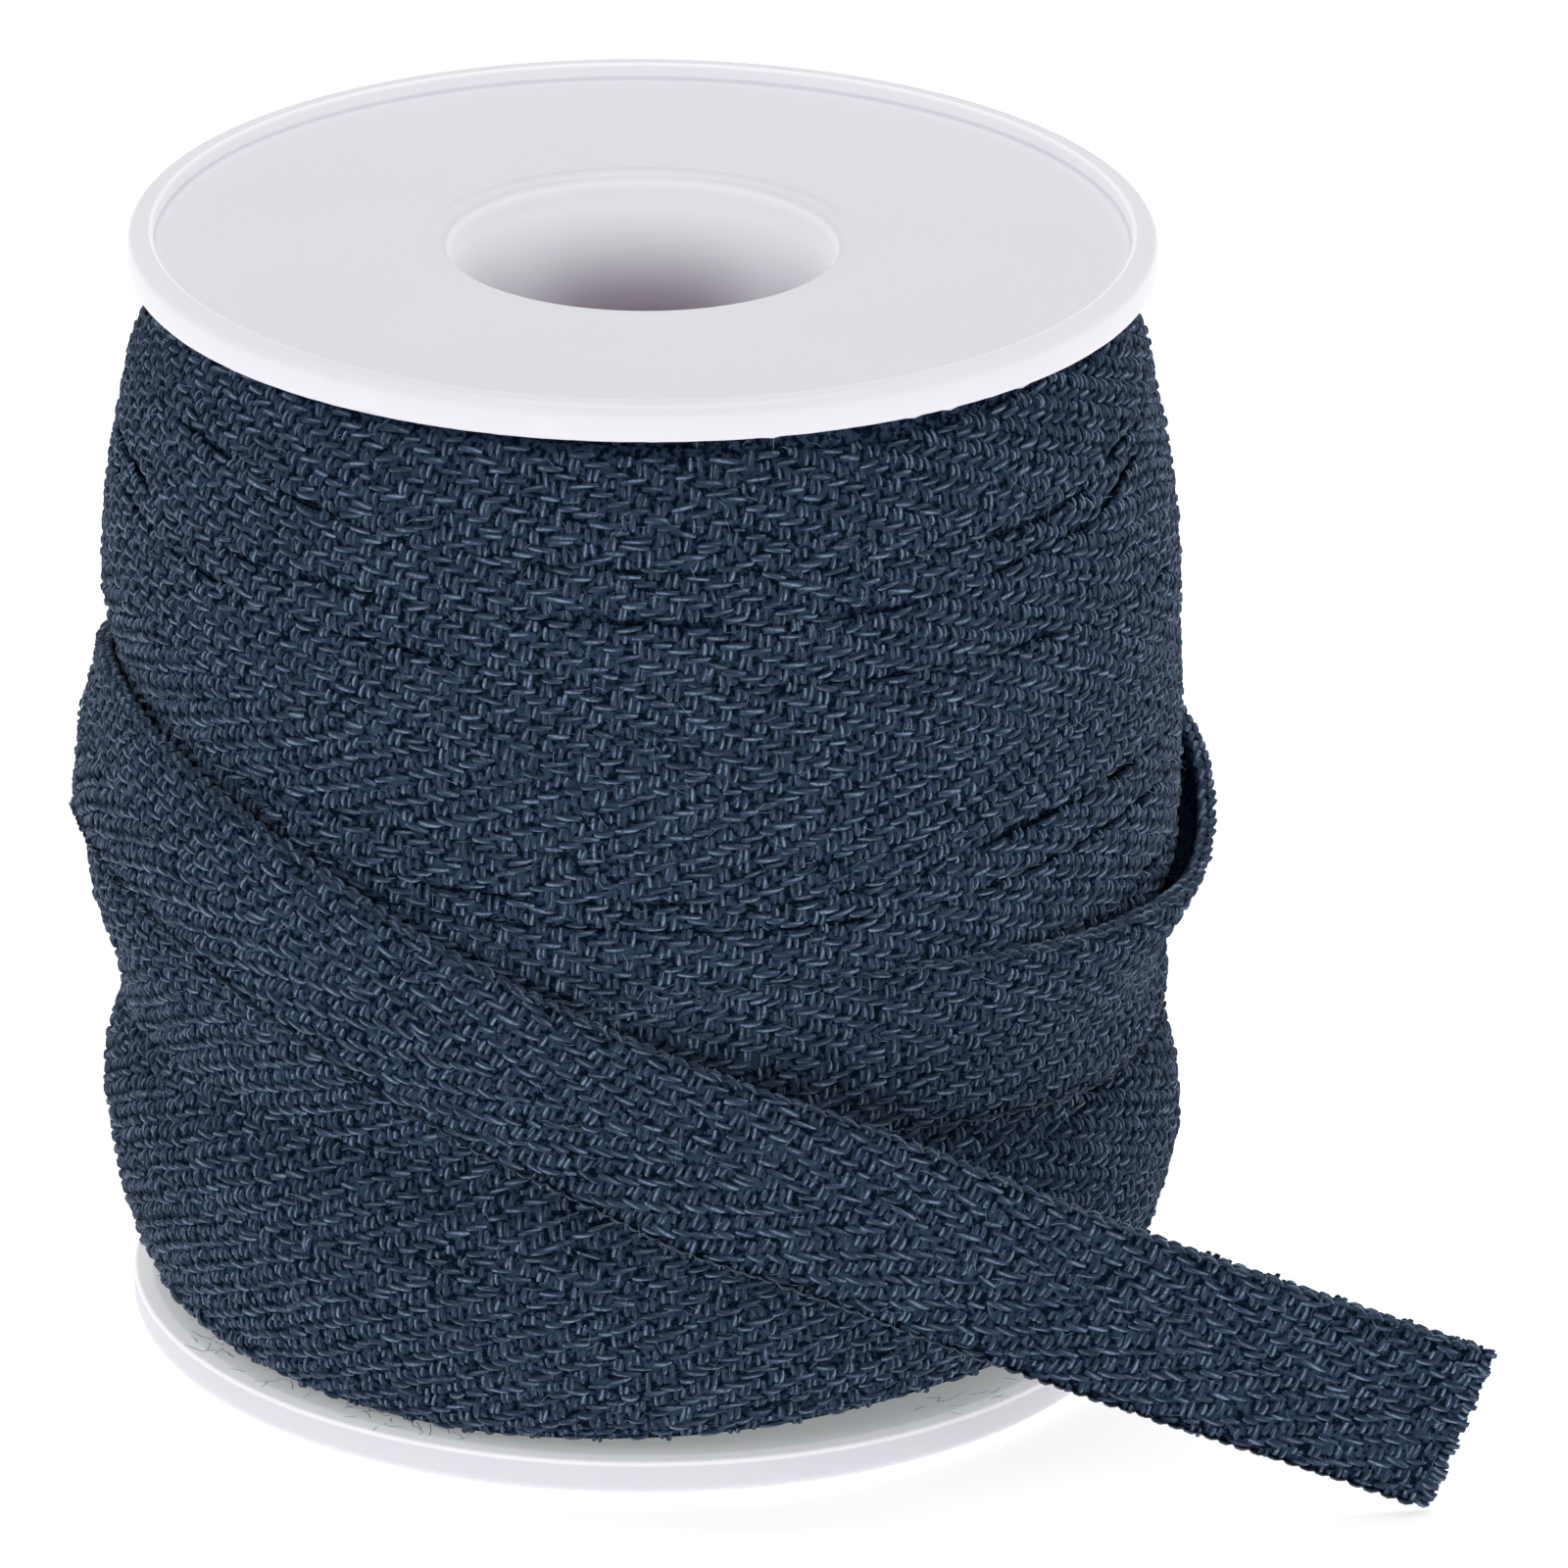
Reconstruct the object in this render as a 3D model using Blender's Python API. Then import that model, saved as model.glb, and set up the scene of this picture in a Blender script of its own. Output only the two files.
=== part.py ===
"""Flat drawstring cord wound on a plastic spool, with its loose end.

Metres, +Z up. The origin is where the spool's axis meets the surface it
stands on, and the front of the spool, where the loose end crosses, faces -Y.
Angles are in degrees from the front, growing towards +X, which is the way the
cord is wound. They keep growing from turn to turn.
"""
import math

import bmesh
import bpy
from mathutils import Quaternion, Vector

# Spool
FLANGE_RADIUS = 0.036
SPOOL_HEIGHT = 0.081
RIM_HEIGHT = 0.0026
RIM_WIDTH = 0.0018
RIM_ROUND = 0.0006
FOOT_ROUND = 0.0003
RECESS_DEPTH = 0.0012
CORE_RADIUS = 0.015
BORE_RADIUS = 0.0135
LIP_RISE = 0.0003
ROUND_STEPS = 2
SPOOL_STEPS = 48

# Cord
CORD_WIDTH = 0.0125
CORD_THICKNESS = 0.0012
EDGE_SOFTNESS = 0.0010
FADE_ANGLE = 4.0

# Roll
CLEARANCE = 0.0003
ROLL_STEPS = 64
ROLL_ROWS = 44
MEAN_ROLL_RADIUS = 0.038

# Outline of the roll between the flanges, as the middle of each turn has it
ROLL_OUTLINE = (
    # height, radius
    (0.0029, 0.0330),
    (0.0043, 0.0344),
    (0.0058, 0.0353),
    (0.0088, 0.0365),
    (0.0120, 0.0372),
    (0.0160, 0.0376),
    (0.0200, 0.0373),
    (0.0240, 0.0362),
    (0.0280, 0.0366),
    (0.0320, 0.0374),
    (0.0370, 0.0380),
    (0.0450, 0.0382),
    (0.0520, 0.0380),
    (0.0570, 0.0379),
    (0.0610, 0.0376),
    (0.0657, 0.0370),
    (0.0687, 0.0364),
    (0.0717, 0.0358),
    (0.0747, 0.0347),
    (0.0781, 0.0330),
)

# Soft lumps and hollows in the outline, where the turns pile up or pull in
LUMPS = (
    # angle, height, rise, spread of angle, spread of height
    (-90.0, 0.0342, 0.0011, 38.0, 0.0050),
    (-88.0, 0.0490, -0.0014, 24.0, 0.0036),
    (88.0, 0.0298, -0.0021, 34.0, 0.0038),
    (-80.0, 0.0100, -0.0004, 50.0, 0.0060),
    (88.0, 0.0155, 0.0005, 40.0, 0.0060),
    (62.0, 0.0690, -0.0004, 40.0, 0.0070),
)

# Outer turns in the order they are wound, each lying over the ones before it:
# the height of their upper edge, and how far each edge stands off the outline
TURNS = (
    # angle, height, upper rise, lower rise
    # down the roll from under the upper flange
    (-180.0, 0.0781, 0.0000, 0.0000),
    (-67.0, 0.0778, 0.0003, 0.0000),
    (0.0, 0.0772, 0.0003, 0.0000),
    (30.0, 0.0762, 0.0006, 0.0000),
    (60.0, 0.0768, 0.0006, 0.0000),
    (110.0, 0.0765, 0.0005, 0.0000),
    (180.0, 0.0750, 0.0005, 0.0000),
    (293.0, 0.0723, 0.0006, 0.0000),
    (310.0, 0.0714, 0.0006, 0.0000),
    (322.0, 0.0704, 0.0006, 0.0000),
    (340.0, 0.0696, 0.0006, 0.0000),
    (360.0, 0.0690, 0.0006, 0.0000),
    (393.0, 0.0683, 0.0006, 0.0000),
    (410.0, 0.0680, 0.0006, 0.0000),
    (423.0, 0.0689, 0.0006, 0.0000),
    (428.0, 0.0698, 0.0006, 0.0000),
    (460.0, 0.0702, 0.0005, 0.0000),
    (540.0, 0.0690, 0.0005, 0.0000),
    (620.0, 0.0670, 0.0005, 0.0000),
    (648.0, 0.0664, 0.0006, 0.0000),
    (658.0, 0.0654, 0.0006, 0.0000),
    (700.0, 0.0657, 0.0006, 0.0000),
    (720.0, 0.0654, 0.0006, 0.0000),
    (745.0, 0.0649, 0.0006, 0.0000),
    (770.0, 0.0661, 0.0006, 0.0000),
    (780.0, 0.0662, 0.0006, 0.0000),
    (790.0, 0.0678, 0.0006, 0.0000),
    (800.0, 0.0688, 0.0006, 0.0000),
    (830.0, 0.0690, 0.0005, 0.0000),
    (900.0, 0.0675, 0.0005, 0.0000),
    (980.0, 0.0652, 0.0005, 0.0000),
    (1008.0, 0.0642, 0.0006, 0.0000),
    (1030.0, 0.0629, 0.0006, 0.0004),
    (1050.0, 0.0623, 0.0006, 0.0004),
    (1080.0, 0.0613, 0.0006, 0.0004),
    (1113.0, 0.0602, 0.0006, 0.0004),
    (1130.0, 0.0600, 0.0006, 0.0000),
    (1145.0, 0.0592, 0.0006, 0.0000),
    (1168.0, 0.0581, 0.0006, 0.0000),
    (1260.0, 0.0550, 0.0005, 0.0000),
    (1340.0, 0.0512, 0.0005, 0.0000),
    (1368.0, 0.0498, 0.0006, 0.0000),
    (1395.0, 0.0469, 0.0006, 0.0000),
    (1415.0, 0.0455, 0.0006, 0.0000),
    (1440.0, 0.0453, 0.0006, 0.0000),
    (1459.0, 0.0449, 0.0006, 0.0000),
    (1473.0, 0.0460, 0.0006, 0.0000),
    (1487.0, 0.0468, 0.0006, 0.0000),
    (1504.0, 0.0472, 0.0006, 0.0000),
    (1520.0, 0.0468, 0.0006, 0.0000),
    (1620.0, 0.0460, 0.0005, 0.0000),
    (1700.0, 0.0450, 0.0005, 0.0000),
    (1728.0, 0.0445, 0.0006, 0.0000),
    (1780.0, 0.0435, 0.0006, 0.0000),
    (1800.0, 0.0433, 0.0006, 0.0000),
    (1820.0, 0.0429, 0.0006, 0.0000),
    (1840.0, 0.0432, 0.0006, 0.0000),
    (1858.0, 0.0438, 0.0006, 0.0000),
    (1870.0, 0.0438, 0.0006, 0.0000),
    (1980.0, 0.0420, 0.0005, 0.0000),
    (2060.0, 0.0395, 0.0005, 0.0000),
    (2088.0, 0.0380, 0.0006, 0.0000),
    (2160.0, 0.0340, 0.0006, 0.0000),
    (2230.0, 0.0300, 0.0006, 0.0000),
    (2340.0, 0.0250, 0.0005, 0.0000),
    (2420.0, 0.0210, 0.0005, 0.0000),
    # round the bottom and back up over them
    (2448.0, 0.0195, 0.0004, 0.0001),
    (2520.0, 0.0170, 0.0004, 0.0001),
    (2590.0, 0.0165, 0.0004, 0.0001),
    (2700.0, 0.0175, 0.0004, 0.0001),
    (2808.0, 0.0205, 0.0002, 0.0005),
    (2842.0, 0.0217, 0.0002, 0.0005),
    (2880.0, 0.0220, 0.0002, 0.0006),
    (2940.0, 0.0229, 0.0002, 0.0006),
    (3060.0, 0.0245, 0.0002, 0.0006),
    (3140.0, 0.0270, 0.0002, 0.0006),
    (3168.0, 0.0285, 0.0002, 0.0006),
    (3214.0, 0.0301, 0.0002, 0.0006),
    (3229.0, 0.0313, 0.0002, 0.0006),
    (3247.0, 0.0328, 0.0002, 0.0006),
    (3284.0, 0.0340, 0.0002, 0.0006),
    (3295.0, 0.0353, 0.0002, 0.0006),
    (3304.0, 0.0373, 0.0002, 0.0006),
    (3319.0, 0.0378, 0.0002, 0.0006),
    (3420.0, 0.0372, 0.0002, 0.0006),
    (3500.0, 0.0366, 0.0002, 0.0006),
    (3528.0, 0.0368, 0.0003, 0.0006),
    (3550.0, 0.0372, 0.0003, 0.0006),
    (3570.0, 0.0368, 0.0003, 0.0006),
    (3586.0, 0.0374, 0.0005, 0.0005),
    (3600.0, 0.0386, 0.0005, 0.0005),
    (3614.0, 0.0391, 0.0005, 0.0005),
)

# Last turn, loose on the roll: its middle line, and how far its two edges
# stand off the turns under it
LOOSE_TURN = (
    # angle, height, upper lift, lower lift
    (14.0, 0.0328, 0.0000, 0.0000),
    (30.0, 0.0327, 0.0000, 0.0000),
    (46.0, 0.0317, 0.0000, 0.0000),
    (60.0, 0.0307, 0.0004, 0.0000),
    (75.0, 0.0301, 0.0010, 0.0000),
    (83.0, 0.0303, 0.0010, 0.0000),
    (91.0, 0.0311, 0.0011, 0.0000),
    (108.0, 0.0337, 0.0015, 0.0000),
    (140.0, 0.0361, 0.0008, 0.0000),
    (180.0, 0.0374, 0.0000, 0.0000),
    (220.0, 0.0388, 0.0000, 0.0000),
    (250.0, 0.0406, 0.0000, 0.0000),
    (262.0, 0.0422, 0.0000, 0.0000),
    (272.0, 0.0440, 0.0000, 0.0000),
    (283.0, 0.0447, 0.0000, 0.0000),
    (292.0, 0.0444, 0.0000, 0.0000),
    (304.0, 0.0432, 0.0000, 0.0000),
    (321.0, 0.0400, 0.0000, 0.0000),
    (333.0, 0.0366, 0.0000, 0.0000),
    (343.0, 0.0337, 0.0000, 0.0004),
    (357.0, 0.0295, 0.0002, 0.0013),
)
LOOSE_TURN_STEP = 5.0

# Free end: the points its middle line runs through after it leaves the roll,
# and how far its lower edge leans out
FREE_END = (
    # x, y, z, lean
    (0.0040, -0.0404, 0.0272, 8.0),
    (0.0090, -0.0406, 0.0255, 9.0),
    (0.0149, -0.0405, 0.0233, 8.0),
    (0.0227, -0.0401, 0.0199, 6.0),
    (0.0322, -0.0395, 0.0159, 3.0),
    (0.0400, -0.0390, 0.0128, 1.0),
    (0.0480, -0.0385, 0.0098, 0.0),
    (0.0571, -0.0379, 0.0063, 0.0),
)
FREE_END_STATIONS = 12
FREE_END_FACING = Vector((0.0, -1.0, 0.0))
STRIP_COLUMNS = 4


def start_clean():
    """Remove what the new file holds."""
    for old in list(bpy.data.objects):
        bpy.data.objects.remove(old, do_unlink=True)


def plain_material(name, colour, roughness):
    """A Principled material of one colour."""
    material = bpy.data.materials.new(name)
    material.use_nodes = True
    shader = material.node_tree.nodes["Principled BSDF"]
    shader.inputs["Base Color"].default_value = (*colour, 1.0)
    shader.inputs["Roughness"].default_value = roughness
    shader.inputs["Metallic"].default_value = 0.0
    return material


def finished_object(name, bm, material, crease_degrees):
    """Turn a bmesh into a smooth shaded object."""
    mesh = bpy.data.meshes.new(name)
    bm.to_mesh(mesh)
    bm.free()
    mesh.materials.append(material)
    mesh.shade_smooth()
    mesh.set_sharp_from_angle(angle=math.radians(crease_degrees))
    result = bpy.data.objects.new(name, mesh)
    bpy.context.collection.objects.link(result)
    return result


def read_curve(table, position, column=1):
    """Read a table's column on a smooth curve through its rows."""
    last = len(table) - 1
    if position <= table[0][0]:
        return table[0][column]
    if position >= table[last][0]:
        return table[last][column]
    row = max(i for i in range(last) if table[i][0] <= position)

    def slope(i):
        before = table[max(i - 1, 0)]
        after = table[min(i + 1, last)]
        return (after[column] - before[column]) / (after[0] - before[0])

    span = table[row + 1][0] - table[row][0]
    part = (position - table[row][0]) / span
    start = table[row][column]
    end = table[row + 1][column]
    return (
        start * (1 + 2 * part) * (1 - part) ** 2
        + end * part ** 2 * (3 - 2 * part)
        + slope(row) * span * part * (1 - part) ** 2
        - slope(row + 1) * span * part ** 2 * (1 - part)
    )


def smooth_step(value):
    """Rise softly from 0 to 1."""
    value = min(max(value, 0.0), 1.0)
    return value * value * (3 - 2 * value)


def round_corner(centre_r, centre_z, radius, first, last):
    """Points of a rounded corner in the spool's section."""
    for step in range(ROUND_STEPS + 1):
        turn = math.radians(first + (last - first) * step / ROUND_STEPS)
        yield (centre_r + radius * math.cos(turn), centre_z + radius * math.sin(turn))


def spool_section():
    """Closed section of the spool, as radius and height, from the bore up."""
    top = SPOOL_HEIGHT
    inner_rim = FLANGE_RADIUS - RIM_WIDTH
    lip_radius = (CORE_RADIUS - BORE_RADIUS) / 2
    lip_middle = BORE_RADIUS + lip_radius
    upper = []
    upper += round_corner(
        lip_middle, top - RECESS_DEPTH + LIP_RISE - lip_radius, lip_radius, 180, 45)
    upper.append((lip_middle + 2 * lip_radius, top - RECESS_DEPTH))
    upper.append((inner_rim - RIM_ROUND, top - RECESS_DEPTH))
    upper.append((inner_rim, top - RECESS_DEPTH + RIM_ROUND))
    upper.append((inner_rim + FOOT_ROUND, top))
    upper += round_corner(
        FLANGE_RADIUS - RIM_ROUND, top - RIM_ROUND, RIM_ROUND, 90, 0)
    upper += round_corner(
        FLANGE_RADIUS - RIM_ROUND, top - RIM_HEIGHT + RIM_ROUND, RIM_ROUND, 0, -90)
    upper.append((CORE_RADIUS, top - RIM_HEIGHT))
    lower = [(radius, top - height) for radius, height in reversed(upper)]
    return upper + lower


def turned_ring(section, steps):
    """Turn a closed section of radius and height about the spool's axis."""
    bm = bmesh.new()
    ring = [bm.verts.new((radius, 0.0, height)) for radius, height in section]
    edges = [bm.edges.new((ring[i - 1], ring[i])) for i in range(len(ring))]
    bmesh.ops.spin(
        bm, geom=ring + edges, axis=(0, 0, 1), cent=(0, 0, 0),
        angle=math.tau, steps=steps, use_merge=True)
    bmesh.ops.recalc_face_normals(bm, faces=bm.faces[:])
    return bm


def make_spool(material):
    """Turn the spool: two rimmed flanges on one hollow core."""
    bm = turned_ring(spool_section(), SPOOL_STEPS)
    return finished_object("spool", bm, material, 40)


def passes(angle):
    """Every angle at which the outer turns pass over one side of the roll."""
    first = TURNS[0][0]
    turn = first + (angle - first) % 360
    while turn <= TURNS[-1][0]:
        yield turn
        turn += 360


def roll_radius(angle, height):
    """Radius of the roll, where each turn lies over the ones before it."""
    radius = read_curve(ROLL_OUTLINE, height)
    for lump_angle, lump_height, lump_rise, wide, tall in LUMPS:
        away = (angle - lump_angle + 180) % 360 - 180
        radius += lump_rise * math.exp(
            -((away / wide) ** 2) - ((height - lump_height) / tall) ** 2)
    rise = 0.0
    for turn in passes(angle):
        above_middle = height - read_curve(TURNS, turn) + CORD_WIDTH / 2
        inside = CORD_WIDTH / 2 - abs(above_middle)
        cover = smooth_step(inside / EDGE_SOFTNESS + 0.5)
        cover *= smooth_step((TURNS[-1][0] - turn) / FADE_ANGLE)
        upper_rise = read_curve(TURNS, turn, 2)
        lower_rise = read_curve(TURNS, turn, 3)
        across = above_middle / CORD_WIDTH + 0.5
        own_rise = lower_rise + (upper_rise - lower_rise) * across
        rise += (own_rise - rise) * cover
    return radius + rise


def on_roll(angle, radius, height):
    """Place a point given by its angle from the front."""
    turn = math.radians(angle)
    return Vector((radius * math.sin(turn), -radius * math.cos(turn), height))


def make_wound_roll(material):
    """Turn a plain ring, then move its outside to the wound turns."""
    low = RIM_HEIGHT + CLEARANCE
    high = SPOOL_HEIGHT - RIM_HEIGHT - CLEARANCE
    hole = CORE_RADIUS + CLEARANCE
    heights = [low + (high - low) * row / ROLL_ROWS for row in range(ROLL_ROWS + 1)]
    section = [(hole, low)]
    section += [(MEAN_ROLL_RADIUS, height) for height in heights]
    section.append((hole, high))
    bm = turned_ring(section, ROLL_STEPS)
    for vert in bm.verts:
        if vert.co.xy.length > (hole + MEAN_ROLL_RADIUS) / 2:
            angle = math.degrees(math.atan2(vert.co.x, -vert.co.y))
            vert.co = on_roll(angle, roll_radius(angle, vert.co.z), vert.co.z)
    return finished_object("wound_roll", bm, material, 60)


def highest_near(angle, height):
    """Largest radius of the roll within one facet of a point."""
    half_angle = 180 / ROLL_STEPS
    half_row = SPOOL_HEIGHT / ROLL_ROWS / 2
    return max(
        roll_radius(angle + side * half_angle, height + up * half_row)
        for side in (-1, 0, 1) for up in (-1, 0, 1))


def loose_turn_slant(angle):
    """Slope of the loose turn's middle line, as an angle."""
    step = 1.0
    rise = read_curve(LOOSE_TURN, angle + step) - read_curve(LOOSE_TURN, angle - step)
    return math.atan2(rise, math.radians(2 * step) * MEAN_ROLL_RADIUS)


def loose_turn_section(angle):
    """Inner face of the loose turn across its width, from its lower edge up."""
    slant = loose_turn_slant(angle)
    middle = read_curve(LOOSE_TURN, angle)
    upper_lift = read_curve(LOOSE_TURN, angle, 2)
    lower_lift = read_curve(LOOSE_TURN, angle, 3)
    points = []
    for column in range(STRIP_COLUMNS + 1):
        across = column / STRIP_COLUMNS
        offset = (across - 0.5) * CORD_WIDTH
        place = angle - math.degrees(offset * math.sin(slant) / MEAN_ROLL_RADIUS)
        height = middle + offset * math.cos(slant)
        lift = lower_lift * (1 - across) + upper_lift * across ** 2
        radius = highest_near(place, height) + CLEARANCE + lift
        points.append(on_roll(place, radius, height))
    return points


def free_end_sections():
    """Inner face of the free end, square to its middle line but for its lean."""
    rows = [(i, *row) for i, row in enumerate(FREE_END)]
    last = len(FREE_END) - 1
    places = [last * step / FREE_END_STATIONS for step in range(FREE_END_STATIONS + 1)]
    line = [Vector([read_curve(rows, place, i) for i in (1, 2, 3)]) for place in places]
    sections = []
    for i, point in enumerate(line):
        along = (line[min(i + 1, len(line) - 1)] - line[max(i - 1, 0)]).normalized()
        lean = Quaternion(along, -math.radians(read_curve(rows, places[i], 4)))
        up = lean @ FREE_END_FACING.cross(along).normalized()
        inner = point - along.cross(up).normalized() * CORD_THICKNESS / 2
        sections.append([
            inner + up * CORD_WIDTH * (column / STRIP_COLUMNS - 0.5)
            for column in range(STRIP_COLUMNS + 1)])
    return sections


def make_loose_end(material):
    """Lay a flat grid along the last turn and the free end, and thicken it."""
    first = LOOSE_TURN[0][0]
    last = LOOSE_TURN[-1][0]
    count = round((last - first) / LOOSE_TURN_STEP)
    angles = [first + (last - first) * step / count for step in range(count + 1)]
    sections = [loose_turn_section(angle) for angle in angles] + free_end_sections()
    bm = bmesh.new()
    bmesh.ops.create_grid(
        bm, x_segments=len(sections) - 1, y_segments=STRIP_COLUMNS, size=0.5)
    for vert in bm.verts:
        station = round((vert.co.x + 0.5) * (len(sections) - 1))
        column = round((vert.co.y + 0.5) * STRIP_COLUMNS)
        vert.co = sections[station][column]
    strip = finished_object("loose_end", bm, material, 60)
    thicken = strip.modifiers.new("thickness", "SOLIDIFY")
    thicken.thickness = CORD_THICKNESS
    thicken.offset = 1.0
    return strip


def main():
    start_clean()
    white_plastic = plain_material("white_plastic", (0.82, 0.82, 0.86), 0.35)
    wound_cotton = plain_material("navy_cotton_wound", (0.025, 0.045, 0.075), 0.9)
    loose_cotton = plain_material("navy_cotton_loose", (0.025, 0.045, 0.075), 0.9)
    make_spool(white_plastic)
    make_wound_roll(wound_cotton)
    make_loose_end(loose_cotton)


main()
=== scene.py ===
# %% [markdown]
# # Flat drawstring cord on a plastic spool
#
# A white moulded spool holds a navy cotton cord, woven flat in a herringbone.
# The packed model gives the plain solids. Here they get what a photograph
# shows: each turn of the cord as a strip of its own, real yarns on every
# strip, a softly rounded spool, and materials. Metres, +Z up.

# %% Load the packed model
import math

import bmesh
import bpy
import numpy as np
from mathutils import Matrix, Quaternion, Vector


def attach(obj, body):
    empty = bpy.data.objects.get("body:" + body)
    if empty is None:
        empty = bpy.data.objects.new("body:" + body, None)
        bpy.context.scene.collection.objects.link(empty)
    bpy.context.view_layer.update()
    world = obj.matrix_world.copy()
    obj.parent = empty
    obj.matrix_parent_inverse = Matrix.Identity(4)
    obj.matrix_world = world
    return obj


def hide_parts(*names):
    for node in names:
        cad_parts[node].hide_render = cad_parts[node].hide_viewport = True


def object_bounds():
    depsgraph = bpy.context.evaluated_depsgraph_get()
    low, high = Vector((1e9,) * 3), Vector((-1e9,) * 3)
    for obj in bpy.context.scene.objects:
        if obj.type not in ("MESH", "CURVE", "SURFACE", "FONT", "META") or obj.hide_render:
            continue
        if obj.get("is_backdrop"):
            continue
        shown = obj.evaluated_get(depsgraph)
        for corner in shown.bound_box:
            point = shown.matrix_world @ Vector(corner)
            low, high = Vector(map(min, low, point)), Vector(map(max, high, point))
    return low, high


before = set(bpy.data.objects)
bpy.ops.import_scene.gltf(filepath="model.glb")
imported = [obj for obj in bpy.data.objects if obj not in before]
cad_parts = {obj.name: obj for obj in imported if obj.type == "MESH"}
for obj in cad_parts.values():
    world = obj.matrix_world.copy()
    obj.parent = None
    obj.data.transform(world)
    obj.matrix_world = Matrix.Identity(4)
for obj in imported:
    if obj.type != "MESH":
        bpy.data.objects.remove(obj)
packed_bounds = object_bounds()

print("nodes:", sorted(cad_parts))
packed_size = packed_bounds[1] - packed_bounds[0]
print("packed size in mm:", [round(1000 * side, 1) for side in packed_size])

# %% [markdown]
# ## Camera
#
# The two rims of the spool are circles of one size, and in the photograph
# they are ellipses. Their widths and heights fix the camera: a long lens,
# well over a metre away and about 22 degrees above the spool. The lens shift
# brings the spool to its place left of the middle, and the roll is the slight
# turn of the picture.

# %% Camera
PHOTO_WIDTH = 1600
SENSOR_WIDTH = 36.0
FOCAL_PIXELS = 17023.8
TARGET = Vector((0.0, 0.0, 0.040))
TARGET_PIXEL = (652.96, 787.37)
CAMERA_DISTANCE = 1.18045
CAMERA_ELEVATION = math.radians(21.806)
CAMERA_ROLL = math.radians(0.302)


def in_scene(name, data):
    """A new object in the scene."""
    piece = bpy.data.objects.new(name, data)
    bpy.context.scene.collection.objects.link(piece)
    return piece


camera_data = bpy.data.cameras.new("camera")
camera = in_scene("camera", camera_data)
bpy.context.scene.camera = camera
back = Vector((0, -math.cos(CAMERA_ELEVATION), math.sin(CAMERA_ELEVATION)))
camera.location = TARGET + back * CAMERA_DISTANCE
look = (-back).to_track_quat("-Z", "Y")
camera.rotation_euler = (look @ Quaternion((0, 0, 1), CAMERA_ROLL)).to_euler()
camera_data.sensor_width = SENSOR_WIDTH
camera_data.lens = SENSOR_WIDTH * FOCAL_PIXELS / PHOTO_WIDTH
camera_data.shift_x = 0.5 - TARGET_PIXEL[0] / PHOTO_WIDTH
camera_data.shift_y = TARGET_PIXEL[1] / PHOTO_WIDTH - 0.5
camera_data.clip_start = 0.01
camera_data.clip_end = 20.0
print("lens in mm:", round(camera_data.lens, 1))

# %% [markdown]
# ## How the cord is wound
#
# The roll is one cord, so it is written as one line. Angles are in degrees
# from the front, growing towards +X, and they keep growing from turn to turn.
# TURNS holds the height of the cord's upper edge where it goes down the roll,
# round at the bottom and up again. LOOSE_TURN is the last turn, which stands
# off the roll on one side, and FREE_END is what lies out past the roll. They
# are the packed model's own numbers, with one older turn more in front and
# two more round the bottom, whose edges show there.

# %% Sizes and route of the cord
CORD_WIDTH = 0.0125
CORD_THICKNESS = 0.0012
CLEARANCE = 0.0003
MEAN_ROLL_RADIUS = 0.038
RIM_HEIGHT = 0.0026
SPOOL_HEIGHT = 0.081
FREE_END_FACING = Vector((0.0, -1.0, 0.0))

ROLL_OUTLINE = (
    # height, radius
    (0.0029, 0.0330),
    (0.0043, 0.0344),
    (0.0058, 0.0353),
    (0.0088, 0.0365),
    (0.0120, 0.0372),
    (0.0160, 0.0376),
    (0.0200, 0.0373),
    (0.0240, 0.0362),
    (0.0280, 0.0366),
    (0.0320, 0.0374),
    (0.0370, 0.0380),
    (0.0450, 0.0382),
    (0.0520, 0.0380),
    (0.0570, 0.0379),
    (0.0610, 0.0376),
    (0.0657, 0.0370),
    (0.0687, 0.0364),
    (0.0717, 0.0358),
    (0.0747, 0.0347),
    (0.0781, 0.0330),
)

LUMPS = (
    # angle, height, rise, spread of angle, spread of height
    (-90.0, 0.0342, 0.0011, 38.0, 0.0050),
    (-88.0, 0.0490, -0.0014, 24.0, 0.0036),
    (88.0, 0.0298, -0.0021, 34.0, 0.0038),
    (-80.0, 0.0100, -0.0004, 50.0, 0.0060),
    (88.0, 0.0155, 0.0005, 40.0, 0.0060),
    (62.0, 0.0690, -0.0004, 40.0, 0.0070),
)

OLDER_TURNS = (
    # angle, height, upper rise, lower rise
    (-1260.0, 0.0470, 0.0, 0.0),
    (-1170.0, 0.0530, 0.0001, 0.0),
    (-1125.0, 0.0542, 0.0002, 0.0),
    (-1105.0, 0.0537, 0.0002, 0.0),
    (-1080.0, 0.0547, 0.0003, 0.0),
    (-1060.0, 0.0557, 0.0003, 0.0),
    (-1020.0, 0.0570, 0.0002, 0.0),
    (-900.0, 0.0610, 0.0, 0.0),
    (-720.0, 0.0690, 0.0, 0.0),
    (-540.0, 0.0760, 0.0, 0.0),
    (-360.0, 0.0781, 0.0, 0.0),
)

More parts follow.
